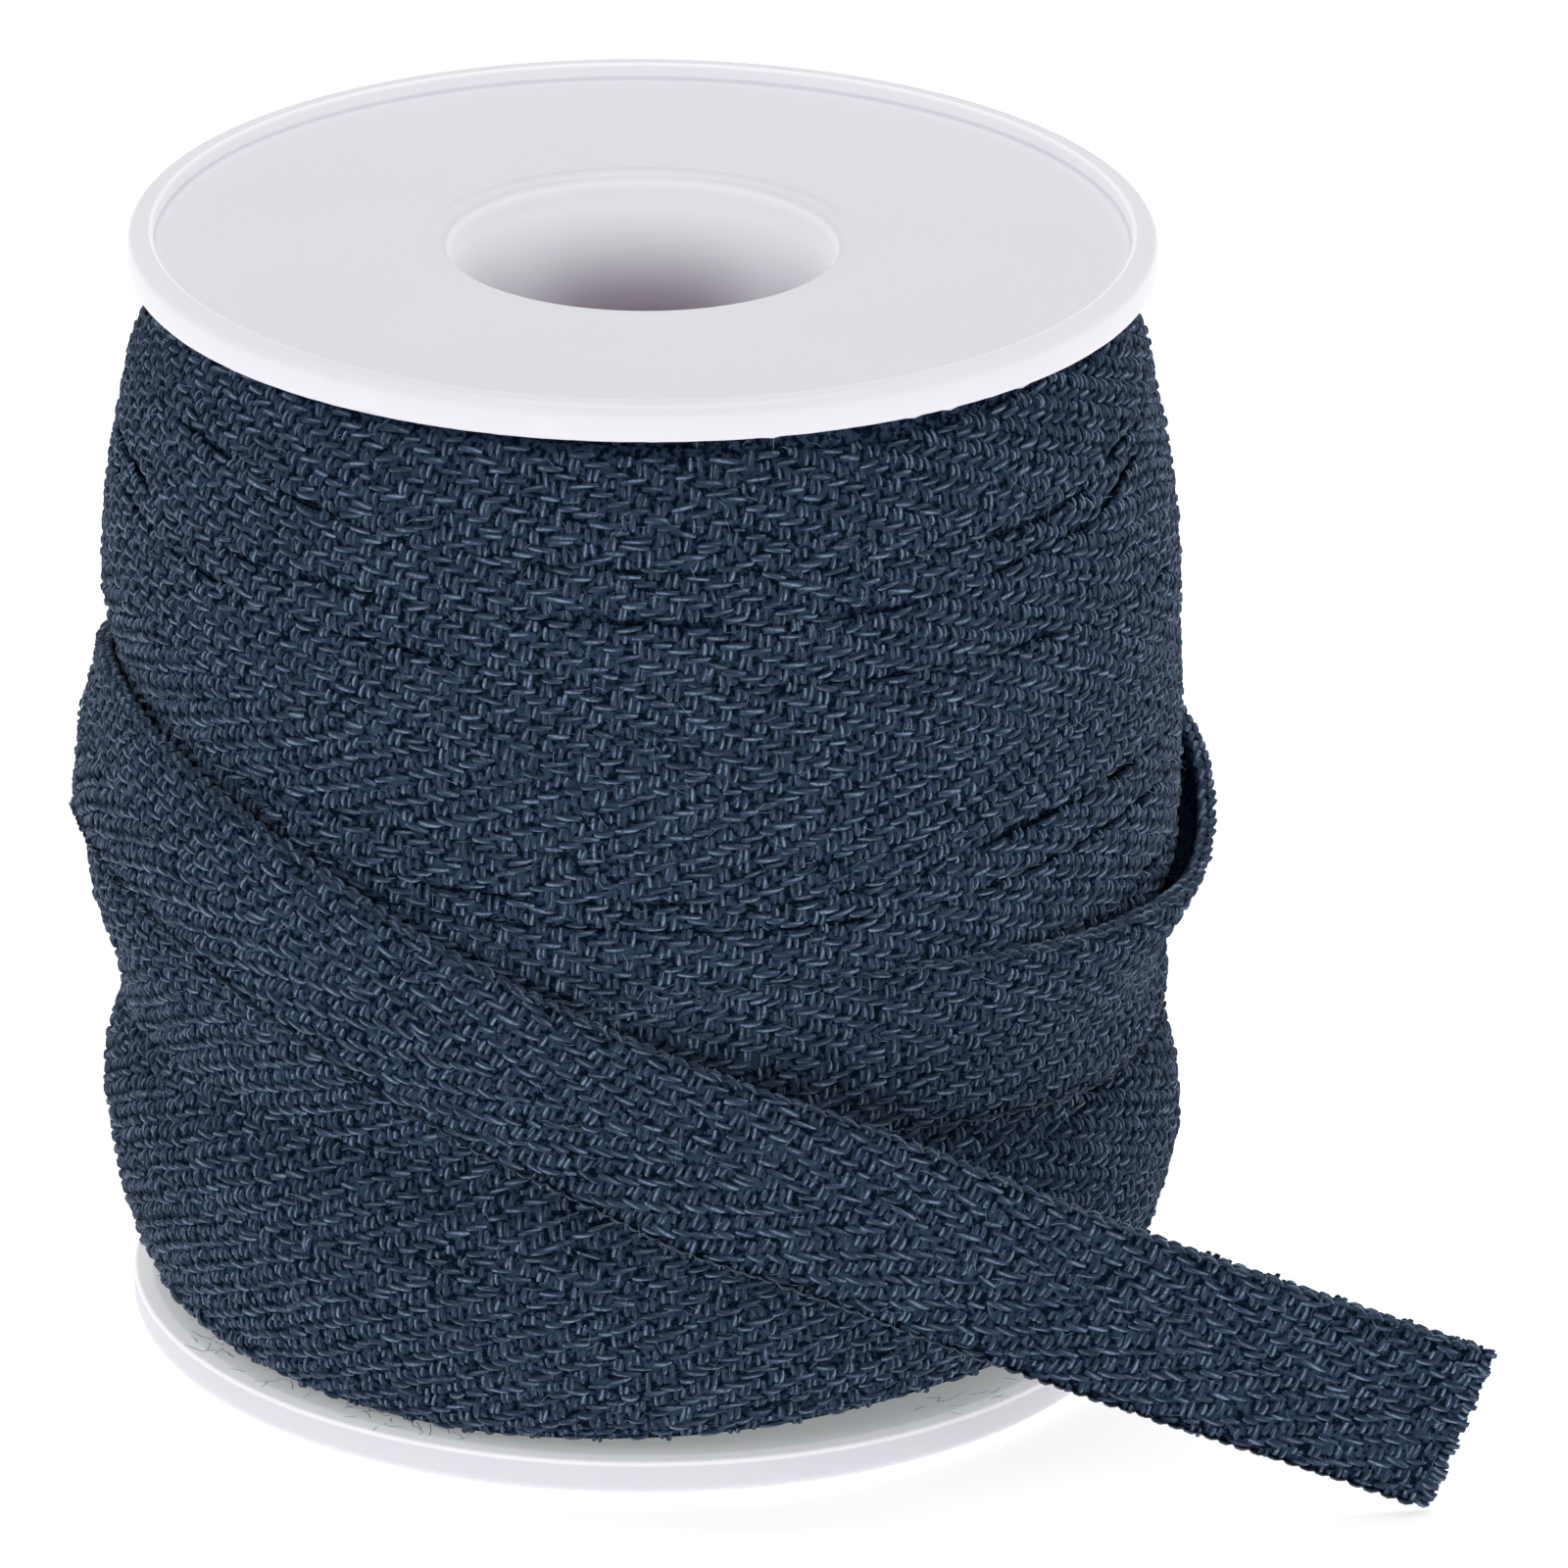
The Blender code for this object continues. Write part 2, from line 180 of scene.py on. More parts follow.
TURNS = (
    # angle, height, upper rise, lower rise
    # down the roll from under the upper flange
    (-180.0, 0.0781, 0.0, 0.0),
    (-67.0, 0.0778, 0.0003, 0.0),
    (0.0, 0.0772, 0.0003, 0.0),
    (30.0, 0.0762, 0.0006, 0.0),
    (60.0, 0.0768, 0.0006, 0.0),
    (110.0, 0.0765, 0.0005, 0.0),
    (180.0, 0.0750, 0.0005, 0.0),
    (293.0, 0.0723, 0.0006, 0.0),
    (310.0, 0.0714, 0.0006, 0.0),
    (322.0, 0.0704, 0.0006, 0.0),
    (340.0, 0.0696, 0.0006, 0.0),
    (360.0, 0.0690, 0.0006, 0.0),
    (393.0, 0.0683, 0.0006, 0.0),
    (410.0, 0.0680, 0.0006, 0.0),
    (423.0, 0.0689, 0.0006, 0.0),
    (428.0, 0.0698, 0.0006, 0.0),
    (460.0, 0.0702, 0.0005, 0.0),
    (540.0, 0.0690, 0.0005, 0.0),
    (620.0, 0.0670, 0.0005, 0.0),
    (648.0, 0.0664, 0.0006, 0.0),
    (658.0, 0.0654, 0.0006, 0.0),
    (700.0, 0.0657, 0.0006, 0.0),
    (720.0, 0.0654, 0.0006, 0.0),
    (745.0, 0.0649, 0.0006, 0.0),
    (770.0, 0.0661, 0.0006, 0.0),
    (780.0, 0.0662, 0.0006, 0.0),
    (790.0, 0.0678, 0.0006, 0.0),
    (800.0, 0.0688, 0.0006, 0.0),
    (830.0, 0.0690, 0.0005, 0.0),
    (900.0, 0.0675, 0.0005, 0.0),
    (980.0, 0.0652, 0.0005, 0.0),
    (1008.0, 0.0642, 0.0006, 0.0),
    (1030.0, 0.0629, 0.0006, 0.0004),
    (1050.0, 0.0623, 0.0006, 0.0004),
    (1080.0, 0.0613, 0.0006, 0.0004),
    (1113.0, 0.0602, 0.0006, 0.0004),
    (1130.0, 0.0600, 0.0006, 0.0),
    (1145.0, 0.0592, 0.0006, 0.0),
    (1168.0, 0.0581, 0.0006, 0.0),
    (1260.0, 0.0550, 0.0005, 0.0),
    (1340.0, 0.0512, 0.0005, 0.0),
    (1368.0, 0.0498, 0.0006, 0.0),
    (1395.0, 0.0469, 0.0006, 0.0),
    (1415.0, 0.0455, 0.0006, 0.0),
    (1440.0, 0.0453, 0.0006, 0.0),
    (1459.0, 0.0449, 0.0006, 0.0),
    (1473.0, 0.0460, 0.0006, 0.0),
    (1487.0, 0.0468, 0.0006, 0.0),
    (1504.0, 0.0472, 0.0006, 0.0),
    (1520.0, 0.0468, 0.0006, 0.0),
    (1620.0, 0.0460, 0.0005, 0.0),
    (1700.0, 0.0450, 0.0005, 0.0),
    (1728.0, 0.0445, 0.0006, 0.0),
    (1780.0, 0.0435, 0.0006, 0.0),
    (1800.0, 0.0433, 0.0006, 0.0),
    (1820.0, 0.0429, 0.0006, 0.0),
    (1840.0, 0.0432, 0.0006, 0.0),
    (1858.0, 0.0438, 0.0006, 0.0),
    (1870.0, 0.0438, 0.0006, 0.0),
    (1980.0, 0.0420, 0.0005, 0.0),
    (2060.0, 0.0395, 0.0005, 0.0),
    (2088.0, 0.0380, 0.0006, 0.0),
    (2160.0, 0.0340, 0.0006, 0.0),
    (2230.0, 0.0300, 0.0006, 0.0),
    (2340.0, 0.0250, 0.0005, 0.0),
    (2420.0, 0.0210, 0.0005, 0.0),
    # round the bottom and back up over them
    (2448.0, 0.0195, 0.0004, 0.0001),
    (2520.0, 0.0180, 0.0004, 0.0002),
    (2590.0, 0.0172, 0.0004, 0.0004),
    (2700.0, 0.0172, 0.0004, 0.0004),
    (2790.0, 0.0174, 0.0003, 0.0005),
    (2815.0, 0.0167, 0.0003, 0.0008),
    (2853.0, 0.0155, 0.0003, 0.0010),
    (2880.0, 0.0161, 0.0003, 0.0009),
    (2920.0, 0.0176, 0.0003, 0.0005),
    (3060.0, 0.0180, 0.0003, 0.0005),
    (3168.0, 0.0184, 0.0002, 0.0006),
    (3240.0, 0.0190, 0.0002, 0.0006),
    (3420.0, 0.0200, 0.0002, 0.0006),
    (3528.0, 0.0211, 0.0002, 0.0006),
    (3562.0, 0.0218, 0.0002, 0.0006),
    (3600.0, 0.0220, 0.0002, 0.0006),
    (3660.0, 0.0229, 0.0002, 0.0006),
    (3780.0, 0.0245, 0.0002, 0.0006),
    (3860.0, 0.0270, 0.0002, 0.0006),
    (3888.0, 0.0285, 0.0002, 0.0006),
    (3934.0, 0.0301, 0.0002, 0.0006),
    (3949.0, 0.0313, 0.0002, 0.0006),
    (3967.0, 0.0328, 0.0002, 0.0006),
    (4004.0, 0.0340, 0.0002, 0.0006),
    (4015.0, 0.0353, 0.0002, 0.0006),
    (4024.0, 0.0373, 0.0002, 0.0006),
    (4039.0, 0.0378, 0.0002, 0.0006),
    (4140.0, 0.0372, 0.0002, 0.0006),
    (4220.0, 0.0366, 0.0002, 0.0006),
    (4248.0, 0.0368, 0.0003, 0.0006),
    (4270.0, 0.0372, 0.0003, 0.0006),
    (4290.0, 0.0368, 0.0003, 0.0006),
    (4306.0, 0.0374, 0.0005, 0.0005),
    (4320.0, 0.0386, 0.0005, 0.0005),
    (4334.0, 0.0391, 0.0005, 0.0005),
)

LOOSE_TURN = (
    # angle, height, upper lift, lower lift
    (-14.0, 0.0312, 0.0, 0.0),
    (0.0, 0.0323, 0.0, 0.0),
    (14.0, 0.0328, 0.0, 0.0),
    (30.0, 0.0327, 0.0, 0.0),
    (46.0, 0.0317, 0.0, 0.0),
    (60.0, 0.0307, 0.0004, 0.0),
    (75.0, 0.0301, 0.0010, 0.0),
    (83.0, 0.0303, 0.0010, 0.0),
    (91.0, 0.0311, 0.0011, 0.0),
    (108.0, 0.0337, 0.0015, 0.0),
    (140.0, 0.0361, 0.0008, 0.0),
    (180.0, 0.0374, 0.0, 0.0),
    (220.0, 0.0388, 0.0, 0.0),
    (250.0, 0.0406, 0.0, 0.0),
    (262.0, 0.0422, 0.0, 0.0),
    (272.0, 0.0440, 0.0, 0.0),
    (283.0, 0.0447, 0.0, 0.0),
    (292.0, 0.0444, 0.0, 0.0),
    (304.0, 0.0432, 0.0, 0.0),
    (321.0, 0.0400, 0.0, 0.0),
    (333.0, 0.0366, 0.0, 0.0),
    (343.0, 0.0337, 0.0, 0.0004),
    (357.0, 0.0295, 0.0002, 0.0013),
)

FREE_END = (
    # x, y, z, lean
    (0.0040, -0.0404, 0.0272, 8.0),
    (0.0090, -0.0406, 0.0255, 9.0),
    (0.0149, -0.0405, 0.0233, 8.0),
    (0.0227, -0.0401, 0.0199, 6.0),
    (0.0322, -0.0395, 0.0159, 3.0),
    (0.0400, -0.0390, 0.0128, 1.0),
    (0.0480, -0.0385, 0.0098, 0.0),
    (0.0571, -0.0379, 0.0063, 0.0),
)
print("turns in the roll:", round((TURNS[-1][0] - OLDER_TURNS[0][0]) / 360, 1))

# %% [markdown]
# ## The strips' shape
#
# Each turn lies like a shingle: its exposed edge stands a little proud of the
# roll's outline, and where a later turn covers it, it goes down by about the
# cord's pressed thickness. So the overlaps are real steps with a dark slit,
# and nothing has to be cut. The tables are read on smooth curves for whole
# arrays of places at once.

# %% Shape of the wound strip
LAYER = 0.0006
UNDER_EDGE = 0.0004
EDGE_ROUND = 0.0008
EDGE_DROP = 0.0003
STATION_ANGLE = 2.0
COLUMNS = 10
ROUTE = OLDER_TURNS + TURNS
ROLL_END = 4312.0
DOWNWARD_END = 2440.0
LOOSE_IN_FRONT = 0.05
LOOSER_ON_THE_LEFT = 0.22
LOOSER_ON_THE_RIGHT = 0.02
LOOSE_GOING_UP = 0.8
HIDDEN_INSIDE = 0.0001


def curve(table, position, column=1):
    """Read a table's column on a smooth curve through its rows."""
    rows = np.array(table)
    x, y = rows[:, 0], rows[:, column]
    slope = np.gradient(y, x, edge_order=1)
    slope[1:-1] = (y[2:] - y[:-2]) / (x[2:] - x[:-2])
    position = np.clip(position, x[0], x[-1])
    row = np.clip(np.searchsorted(x, position, side="right") - 1, 0, len(x) - 2)
    span = x[row + 1] - x[row]
    part = (position - x[row]) / span
    return (
        y[row] * (1 + 2 * part) * (1 - part) ** 2
        + y[row + 1] * part ** 2 * (3 - 2 * part)
        + slope[row] * span * part * (1 - part) ** 2
        - slope[row + 1] * span * part ** 2 * (1 - part))


def smooth_step(value):
    """Rise softly from 0 to 1."""
    value = np.clip(value, 0, 1)
    return value * value * (3 - 2 * value)


def outline(angle, height):
    """The roll's radius without its steps."""
    radius = curve(ROLL_OUTLINE, height)
    for lump_angle, lump_height, rise, wide, tall in LUMPS:
        away = (angle - lump_angle + 180) % 360 - 180
        radius = radius + rise * np.exp(-(away / wide) ** 2 - ((height - lump_height) / tall) ** 2)
    return radius


def inside_pass(turn, height):
    """How far a height lies inside the edges of the cord at a turn."""
    return CORD_WIDTH / 2 - np.abs(height - curve(ROUTE, turn) + CORD_WIDTH / 2)


def looseness(turn):
    """How open the turns' edges are: nearly shut in front, more open on the left."""
    away = (turn + 180) % 360 - 180
    spread = np.where(away < 0, LOOSER_ON_THE_LEFT, LOOSER_ON_THE_RIGHT)
    going_down = LOOSE_IN_FRONT + spread * smooth_step((np.abs(away) - 18) / 45)
    return np.where(turn < DOWNWARD_END, going_down, LOOSE_GOING_UP)


def edge_drop(offset):
    """How far the cord's face goes down towards its soft edges."""
    return EDGE_DROP * smooth_step((np.abs(offset) - CORD_WIDTH / 2 + EDGE_ROUND) / EDGE_ROUND)


def wound_shape(turn, height):
    """Radius of the wound strip, and whether it shows there."""
    across = (height - curve(ROUTE, turn)) / CORD_WIDTH + 1
    upper = curve(ROUTE, turn, 2) * looseness(turn)
    lower = curve(ROUTE, turn, 3)
    radius = outline(turn, height) + lower + (upper - lower) * across
    radius = radius - edge_drop((across - 0.5) * CORD_WIDTH) * looseness(turn)
    shows = np.ones_like(radius)
    later = turn + 360
    while later.min() <= ROLL_END:
        real = (later <= ROLL_END).astype(float)
        inside = inside_pass(later, height)
        reach = UNDER_EDGE * (0.2 + 0.8 * looseness(later))
        radius = radius - LAYER * real * smooth_step((inside + reach) / (reach + 0.0002))
        shows = shows * (1 - real * (inside > HIDDEN_INSIDE))
        later = later + 360
    return radius, shows


def on_roll(angle, radius, height):
    """Place points given by their angle from the front."""
    turn = np.radians(angle)
    return np.stack([radius * np.sin(turn), -radius * np.cos(turn), height], axis=-1)


stations = np.arange(ROUTE[0][0], ROLL_END + 0.1, STATION_ANGLE)
across = np.linspace(0, 1, COLUMNS + 1)
turn_grid, across_grid = np.meshgrid(stations, across, indexing="ij")
height_grid = curve(ROUTE, turn_grid) + (across_grid - 1) * CORD_WIDTH
radius_grid, shows_grid = wound_shape(turn_grid, height_grid)
wound_grid = on_roll(turn_grid, radius_grid, height_grid)
print("stations along the wound cord:", len(stations))

# %% [markdown]
# ## The loose end's shape
#
# The last turn lies on top of all the others, stands off the roll in a bight
# on the right, crosses the front downwards and lies out to the right. It is
# the same strip, but both its faces and its edges can be seen, so it keeps
# its full thickness. Where it starts it is still a turn of the roll, and it
# comes out to the top over its first few centimetres.

# %% Shape of the loose end
TURNS_BELOW = 11
STILL_WOUND_TO = 12.0
COMES_OUT_OVER = 40.0
BIGHT_LIFT = 0.0009
BIGHT_MORE = 0.0002
LIFT_BOW = 1.7
LOOSE_STATION_ANGLE = 1.75
FREE_STATIONS = 40
SMOOTHING_PASSES = 3


def roll_surface(angle, height):
    """Radius of the roll as its topmost turns make it."""
    turn = angle - 360.0 * np.ceil((angle - ROLL_END) / 360)
    radius = np.zeros_like(angle)
    for _turn_below in range(TURNS_BELOW):
        own, _shows = wound_shape(turn, height)
        on_strip = inside_pass(turn, height) > -0.0002
        radius = np.where(on_strip, np.maximum(radius, own), radius)
        turn = turn - 360.0
    return np.maximum(radius, outline(angle, height))


def loose_turn_sections(angles):
    """Inner face of the loose turn, station by station, from its lower edge up."""
    climb = curve(LOOSE_TURN, angles + 1) - curve(LOOSE_TURN, angles - 1)
    slant = np.arctan(climb / math.radians(2) / MEAN_ROLL_RADIUS)[:, None]
    offset = (across[None, :] - 0.5) * CORD_WIDTH
    place = angles[:, None] - np.degrees(offset * np.sin(slant) / MEAN_ROLL_RADIUS)
    height = curve(LOOSE_TURN, angles)[:, None] + offset * np.cos(slant)
    upper = curve(LOOSE_TURN, angles, 2)[:, None]
    lower = curve(LOOSE_TURN, angles, 3)[:, None]
    upper = upper + BIGHT_MORE * (upper > BIGHT_LIFT)
    lift = lower * (1 - across) + upper * across ** LIFT_BOW
    still_wound = 1 - smooth_step((angles[:, None] - STILL_WOUND_TO) / COMES_OUT_OVER)
    lift = lift - still_wound * (CORD_THICKNESS + CLEARANCE - 0.0001)
    return on_roll(place, roll_surface(place, height) + CLEARANCE + lift, height)


def free_end_sections(count):
    """Inner face of the free end, square to its middle line but for its lean."""
    rows = [(i, *row) for i, row in enumerate(FREE_END)]
    places = np.linspace(0, len(FREE_END) - 1, count)
    line = np.stack([curve(rows, places, i) for i in (1, 2, 3)], axis=-1)
    sections = []
    for i, place in enumerate(places):
        along = Vector(line[min(i + 1, count - 1)] - line[max(i - 1, 0)]).normalized()
        lean = Quaternion(along, -math.radians(curve(rows, place, 4)))
        up = lean @ FREE_END_FACING.cross(along).normalized()
        inner = Vector(line[i]) - along.cross(up).normalized() * CORD_THICKNESS / 2
        sections.append([inner + up * CORD_WIDTH * (part - 0.5) for part in across])
    return np.array(sections)


loose_angles = np.arange(LOOSE_TURN[0][0], LOOSE_TURN[-1][0] + 0.1, LOOSE_STATION_ANGLE)
loose_inner = np.concatenate([
    loose_turn_sections(loose_angles), free_end_sections(FREE_STATIONS)])
for _smoothing_pass in range(SMOOTHING_PASSES):
    loose_inner[1:-1] = (loose_inner[:-2] + 2 * loose_inner[1:-1] + loose_inner[2:]) / 4


def grid_frame(grid):
    """Unit vectors along, up and out of a grid of points."""
    along = np.gradient(grid, axis=0)
    up = np.gradient(grid, axis=1)
    along /= np.linalg.norm(along, axis=-1, keepdims=True)
    out = np.cross(along, up)
    out /= np.linalg.norm(out, axis=-1, keepdims=True)
    return along, np.cross(out, along), out


loose_out = grid_frame(loose_inner)[2]
loose_middle = loose_inner + loose_out * CORD_THICKNESS / 2
drop = edge_drop((across - 0.5) * CORD_WIDTH)[None, :, None]
loose_outer = loose_inner + loose_out * (CORD_THICKNESS - drop)

# %% [markdown]
# ## Strips
#
# A strip is a flat grid with one row of faces for each station, moved to its
# shape and thickened. The yarns go on top later, so the strip itself is the
# cloth between them, painted dark for the shade there, and lies slightly below
# the cord's outer face.

# %% Strips
YARN_DEPTH = 0.00014
WOUND_THICKNESS = 0.00045


def smooth_mesh(bm, name):
    """The mesh that a bmesh holds, shaded smooth."""
    mesh = bpy.data.meshes.new(name)
    bm.to_mesh(mesh)
    bm.free()
    mesh.shade_smooth()
    return mesh


def strip(name, grid, thickness):
    """A thick strip whose outer face is the grid."""
    bm = bmesh.new()
    last_station, last_column = grid.shape[0] - 1, grid.shape[1] - 1
    bmesh.ops.create_grid(bm, x_segments=last_station, y_segments=last_column, size=0.5)
    for vert in bm.verts:
        station = round((vert.co.x + 0.5) * last_station)
        column = round((vert.co.y + 0.5) * last_column)
        vert.co = grid[station][column]
    piece = in_scene(name, smooth_mesh(bm, name))
    thicken = piece.modifiers.new("thickness", "SOLIDIFY")
    thicken.thickness = thickness
    thicken.offset = -1.0
    return piece


def sunk(grid, depth):
    """The grid moved inwards."""
    return grid - grid_frame(grid)[2] * depth


cloth_thickness = CORD_THICKNESS - 2 * YARN_DEPTH
wound_strip = strip("wound_strip", sunk(wound_grid, YARN_DEPTH), WOUND_THICKNESS)
loose_strip = strip("loose_strip", sunk(loose_outer, YARN_DEPTH), cloth_thickness)
print("faces of the strips:", len(wound_strip.data.polygons), len(loose_strip.data.polygons))

# %% [markdown]
# ## Inner winding
#
# Behind the strips the roll is full. A ring turned about the axis closes it,
# just under the strips, so that no gap between two turns shows the core. It
# lies a little deeper next to the flanges, where the photograph is dark.

# %% Inner winding
CORE_RADIUS = 0.015
WINDING_INSET = 0.0019
DEEPER_BELOW = 0.0012
DEEPER_ABOVE = 0.0010
DEEPER_OVER = 0.0030


def turned_ring(name, section, steps):
    """Turn a closed section of radius and height about the spool's axis."""
    bm = bmesh.new()
    ring = [bm.verts.new((radius, 0.0, height)) for radius, height in section]
    edges = [bm.edges.new((ring[i - 1], ring[i])) for i in range(len(ring))]
    bmesh.ops.spin(
        bm, geom=ring + edges, axis=(0, 0, 1), cent=(0, 0, 0),
        angle=math.tau, steps=steps, use_merge=True)
    bmesh.ops.recalc_face_normals(bm, faces=bm.faces[:])
    mesh = smooth_mesh(bm, name)
    mesh.set_sharp_from_angle(angle=math.radians(50))
    return in_scene(name, mesh)


winding_heights = np.linspace(RIM_HEIGHT + CLEARANCE, SPOOL_HEIGHT - RIM_HEIGHT - CLEARANCE, 60)
winding_inside = CORE_RADIUS + CLEARANCE
winding_section = [(winding_inside, winding_heights[0])]
winding_section += [(MEAN_ROLL_RADIUS, height) for height in winding_heights]
winding_section.append((winding_inside, winding_heights[-1]))
inner_winding = turned_ring("inner_winding", winding_section, 120)
for vert in inner_winding.data.vertices:
    if vert.co.xy.length > 0.025:
        angle = np.degrees(np.arctan2(vert.co.x, -vert.co.y))
        height = vert.co.z
        inset = WINDING_INSET + DEEPER_BELOW * smooth_step((0.0060 - height) / DEEPER_OVER)
        inset += DEEPER_ABOVE * smooth_step((height - 0.0750) / DEEPER_OVER)
        vert.co = on_roll(angle, outline(angle, height) - inset, height)
print("inner winding faces:", len(inner_winding.data.polygons))

# %% [markdown]
# ## Yarns
#
# The cord is a 2/2 twill whose diagonal turns back in its middle. Each lengthwise
# yarn floats over two crosswise pairs and dives under the next two, and its
# neighbour does the same one pair later. A float is a short half tube whose
# ends dip, shaped once from a grid and then laid many times as a joined mesh
# made from arrays, because a cord has thousands of them. A single fibre is the
# same grid made narrow, bent to one side.

# %% One yarn


def yarn_shape(along_faces, across_faces):
    """Half a tube one unit long, wide and high, as points, faces and UVs."""
    bm = bmesh.new()
    bmesh.ops.create_grid(bm, x_segments=along_faces, y_segments=across_faces, size=0.5)
    uvs = np.array([(vert.co.x + 0.5, vert.co.y + 0.5) for vert in bm.verts])
    for vert in bm.verts:
        along, around = 2 * vert.co.x, vert.co.y * math.pi
        dip = abs(along) ** 3
        vert.co.y = math.sin(around) / 2 * (1 - 0.3 * dip)
        vert.co.z = math.cos(around) * (1 - dip) - 0.4 * dip
    points = np.array([vert.co for vert in bm.verts])
    faces = np.array([[vert.index for vert in face.verts] for face in bm.faces])
    bm.free()
    return points, faces, uvs


def fibre_shape():
    """A single fibre as a narrow ribbon that rises and bends to one side."""
    points, faces, uvs = yarn_shape(5, 1)
    along = points[:, 0] + 0.5
    side = np.sign(points[:, 1]) / 2
    points = np.stack([along, side + 7 * along ** 2, along ** 1.5], axis=1)
    return points, faces, uvs


long_yarn = yarn_shape(5, 3)
short_yarn = yarn_shape(3, 3)
one_fibre = fibre_shape()
print("faces of one float:", len(long_yarn[1]), "and", len(short_yarn[1]))

# %% [markdown]
# A float is laid by its place along and across the cord, which is read from
# the strip's own grid of points. There it gets the cord's directions, and a
# little unevenness, so that no two repeats of the weave look alike. Every
# measure is drawn from a mean and a spread, with a fixed seed.

# %% Places on the cord
UNEVEN = 0.00005
START_MARGIN = 0.0002
END_MARGIN = 0.0005
rng = np.random.default_rng(7)


def sample(grid, station, column):
    """Read a grid between its stations and columns."""
    station = np.clip(station, 0, grid.shape[0] - 1.001)
    column = np.clip(column, 0, grid.shape[1] - 1.001)
    i, j = station.astype(int), column.astype(int)
    a, b = station - i, column - j
    if grid.ndim == 3:
        a, b = a[:, None], b[:, None]
    return (
        grid[i, j] * (1 - a) * (1 - b) + grid[i + 1, j] * a * (1 - b)
        + grid[i, j + 1] * (1 - a) * b + grid[i + 1, j + 1] * a * b)


def run_along(grid, column):
    """Length from the grid's start to each of its stations, along one column."""
    steps = np.linalg.norm(np.diff(grid[:, column], axis=0), axis=1)
    return np.concatenate([[0.0], np.cumsum(steps)])


def on_cord(along, run):
    """Whether places along the cord lie between its two ends."""
    return (along > START_MARGIN) & (along < run[-1] - END_MARGIN)


def drawn(measures, count):
    """Draw a size for each piece: its length, width and height."""
    return np.stack([rng.normal(mean, spread, count) for mean, spread in measures], axis=1)


def placed(grid, run, along, across_place, tilt, size, mask=None):
    """Lay floats on a grid: their middles, own axes, sizes and shades."""
    station = np.interp(along, run, np.arange(len(run)))
    column = (across_place / CORD_WIDTH + 0.5) * (grid.shape[1] - 1)
    keep = on_cord(along, run)
    if mask is not None:
        keep &= sample(mask, station, column) > 0.5
    station, column, tilt = station[keep], column[keep], tilt[keep]
    size = size[keep]
    one = sample(grid, station + 0.4, column) - sample(grid, station - 0.4, column)
    two = sample(grid, station, column + 0.4) - sample(grid, station, column - 0.4)
    out = np.cross(one, two)
    out /= np.linalg.norm(out, axis=1, keepdims=True)
    one /= np.linalg.norm(one, axis=1, keepdims=True)
    two = np.cross(out, one)
    middle = sample(grid, station, column) + out * rng.normal(0, UNEVEN, len(out))[:, None]
    turn_cos, turn_sin = np.cos(tilt)[:, None], np.sin(tilt)[:, None]
    axes = np.stack([
        one * turn_cos + two * turn_sin, two * turn_cos - one * turn_sin, out], axis=1)
    return middle, axes, size


loose_run = run_along(loose_middle, COLUMNS // 2)
print("length of the loose end in mm:", round(1000 * loose_run[-1]))

# %% [markdown]
# Where the floats lie follows from counting. A lengthwise yarn that is so many
# places from the middle starts its float that many pairs earlier, which makes
# the arrows point along the cord. The crosswise pairs fill the places between.

# %% Weave
WARP_YARNS = 26
WARP_PITCH = CORD_WIDTH / WARP_YARNS
PAIR_PITCH = 0.00123
PAIR_GAP = 0.00050
LENGTHWISE_FLOAT = ((0.00182, 0.00024), (0.00043, 0.00006), (0.00026, 0.00005))
CROSSWISE_FLOAT = ((0.00110, 0.00011), (0.00042, 0.00005), (0.00022, 0.00005))
SHORTER_AT_EDGE = 0.00035


def sway(along, across_place):
    """How far the cloth's own unevenness moves a yarn along the cord."""
    slow = 2.2 * np.sin(along / 0.0117)
    return 0.00016 * np.sin(along / 0.0031 + slow + across_place / 0.0013)


def lengthwise_floats(grid, run, mask, repeats):
    """The floats that run along the cord."""
    side, away, repeat = np.meshgrid(
        [-1, 1], np.arange(WARP_YARNS // 2), np.arange(repeats), indexing="ij")
    side, away, repeat = side.ravel(), away.ravel(), repeat.ravel()
    count = len(side)
    along = PAIR_PITCH * (4 * repeat + 1 - away) + rng.normal(0, 0.00013, count)
    across_place = side * (away + 0.5) * WARP_PITCH + rng.normal(0, 0.000045, count)
    along = along + sway(along, across_place)
    tilt = np.radians(rng.normal(6, 6, count))
    size = drawn(LENGTHWISE_FLOAT, count)
    return placed(grid, run, along, across_place, tilt, size, mask)


def crosswise_floats(grid, run, mask, repeats):
    """The floats that run across the cord, two by two."""
    side, away, pair = np.meshgrid(
        [-1, 1], np.arange(-1, WARP_YARNS // 2), np.arange(4 * repeats), indexing="ij")
    wanted = (pair + away) % 4 == 2
    wanted &= (away >= 0) | (side > 0)
    side, away, pair = side[wanted], away[wanted], pair[wanted]
    count = len(side)
    edge = away == WARP_YARNS // 2 - 1
    halves = []
    for half in (-0.5, 0.5):
        along = PAIR_PITCH * (pair + 0.5) + half * PAIR_GAP + rng.normal(0, 0.00006, count)
        across_place = side * np.where(edge, away + 0.75, away + 1) * WARP_PITCH
        across_place = across_place + rng.normal(0, 0.00005, count)
        along = along + sway(along, across_place)
        tilt = np.radians(rng.normal(90, 7, count))
        size = drawn(CROSSWISE_FLOAT, count)
        size[:, 0] -= SHORTER_AT_EDGE * edge
        halves.append(placed(grid, run, along, across_place, tilt, size, mask))
    return [np.concatenate(part) for part in zip(*halves)]


def weave(grid, mask=None):
    """Lengthwise floats and crosswise pairs on a grid's outer side."""
    run = run_along(grid, grid.shape[1] // 2)
    repeats = int(run[-1] / PAIR_PITCH / 4) + 5
    lengthwise = lengthwise_floats(grid, run, mask, repeats)
    return lengthwise, crosswise_floats(grid, run, mask, repeats)


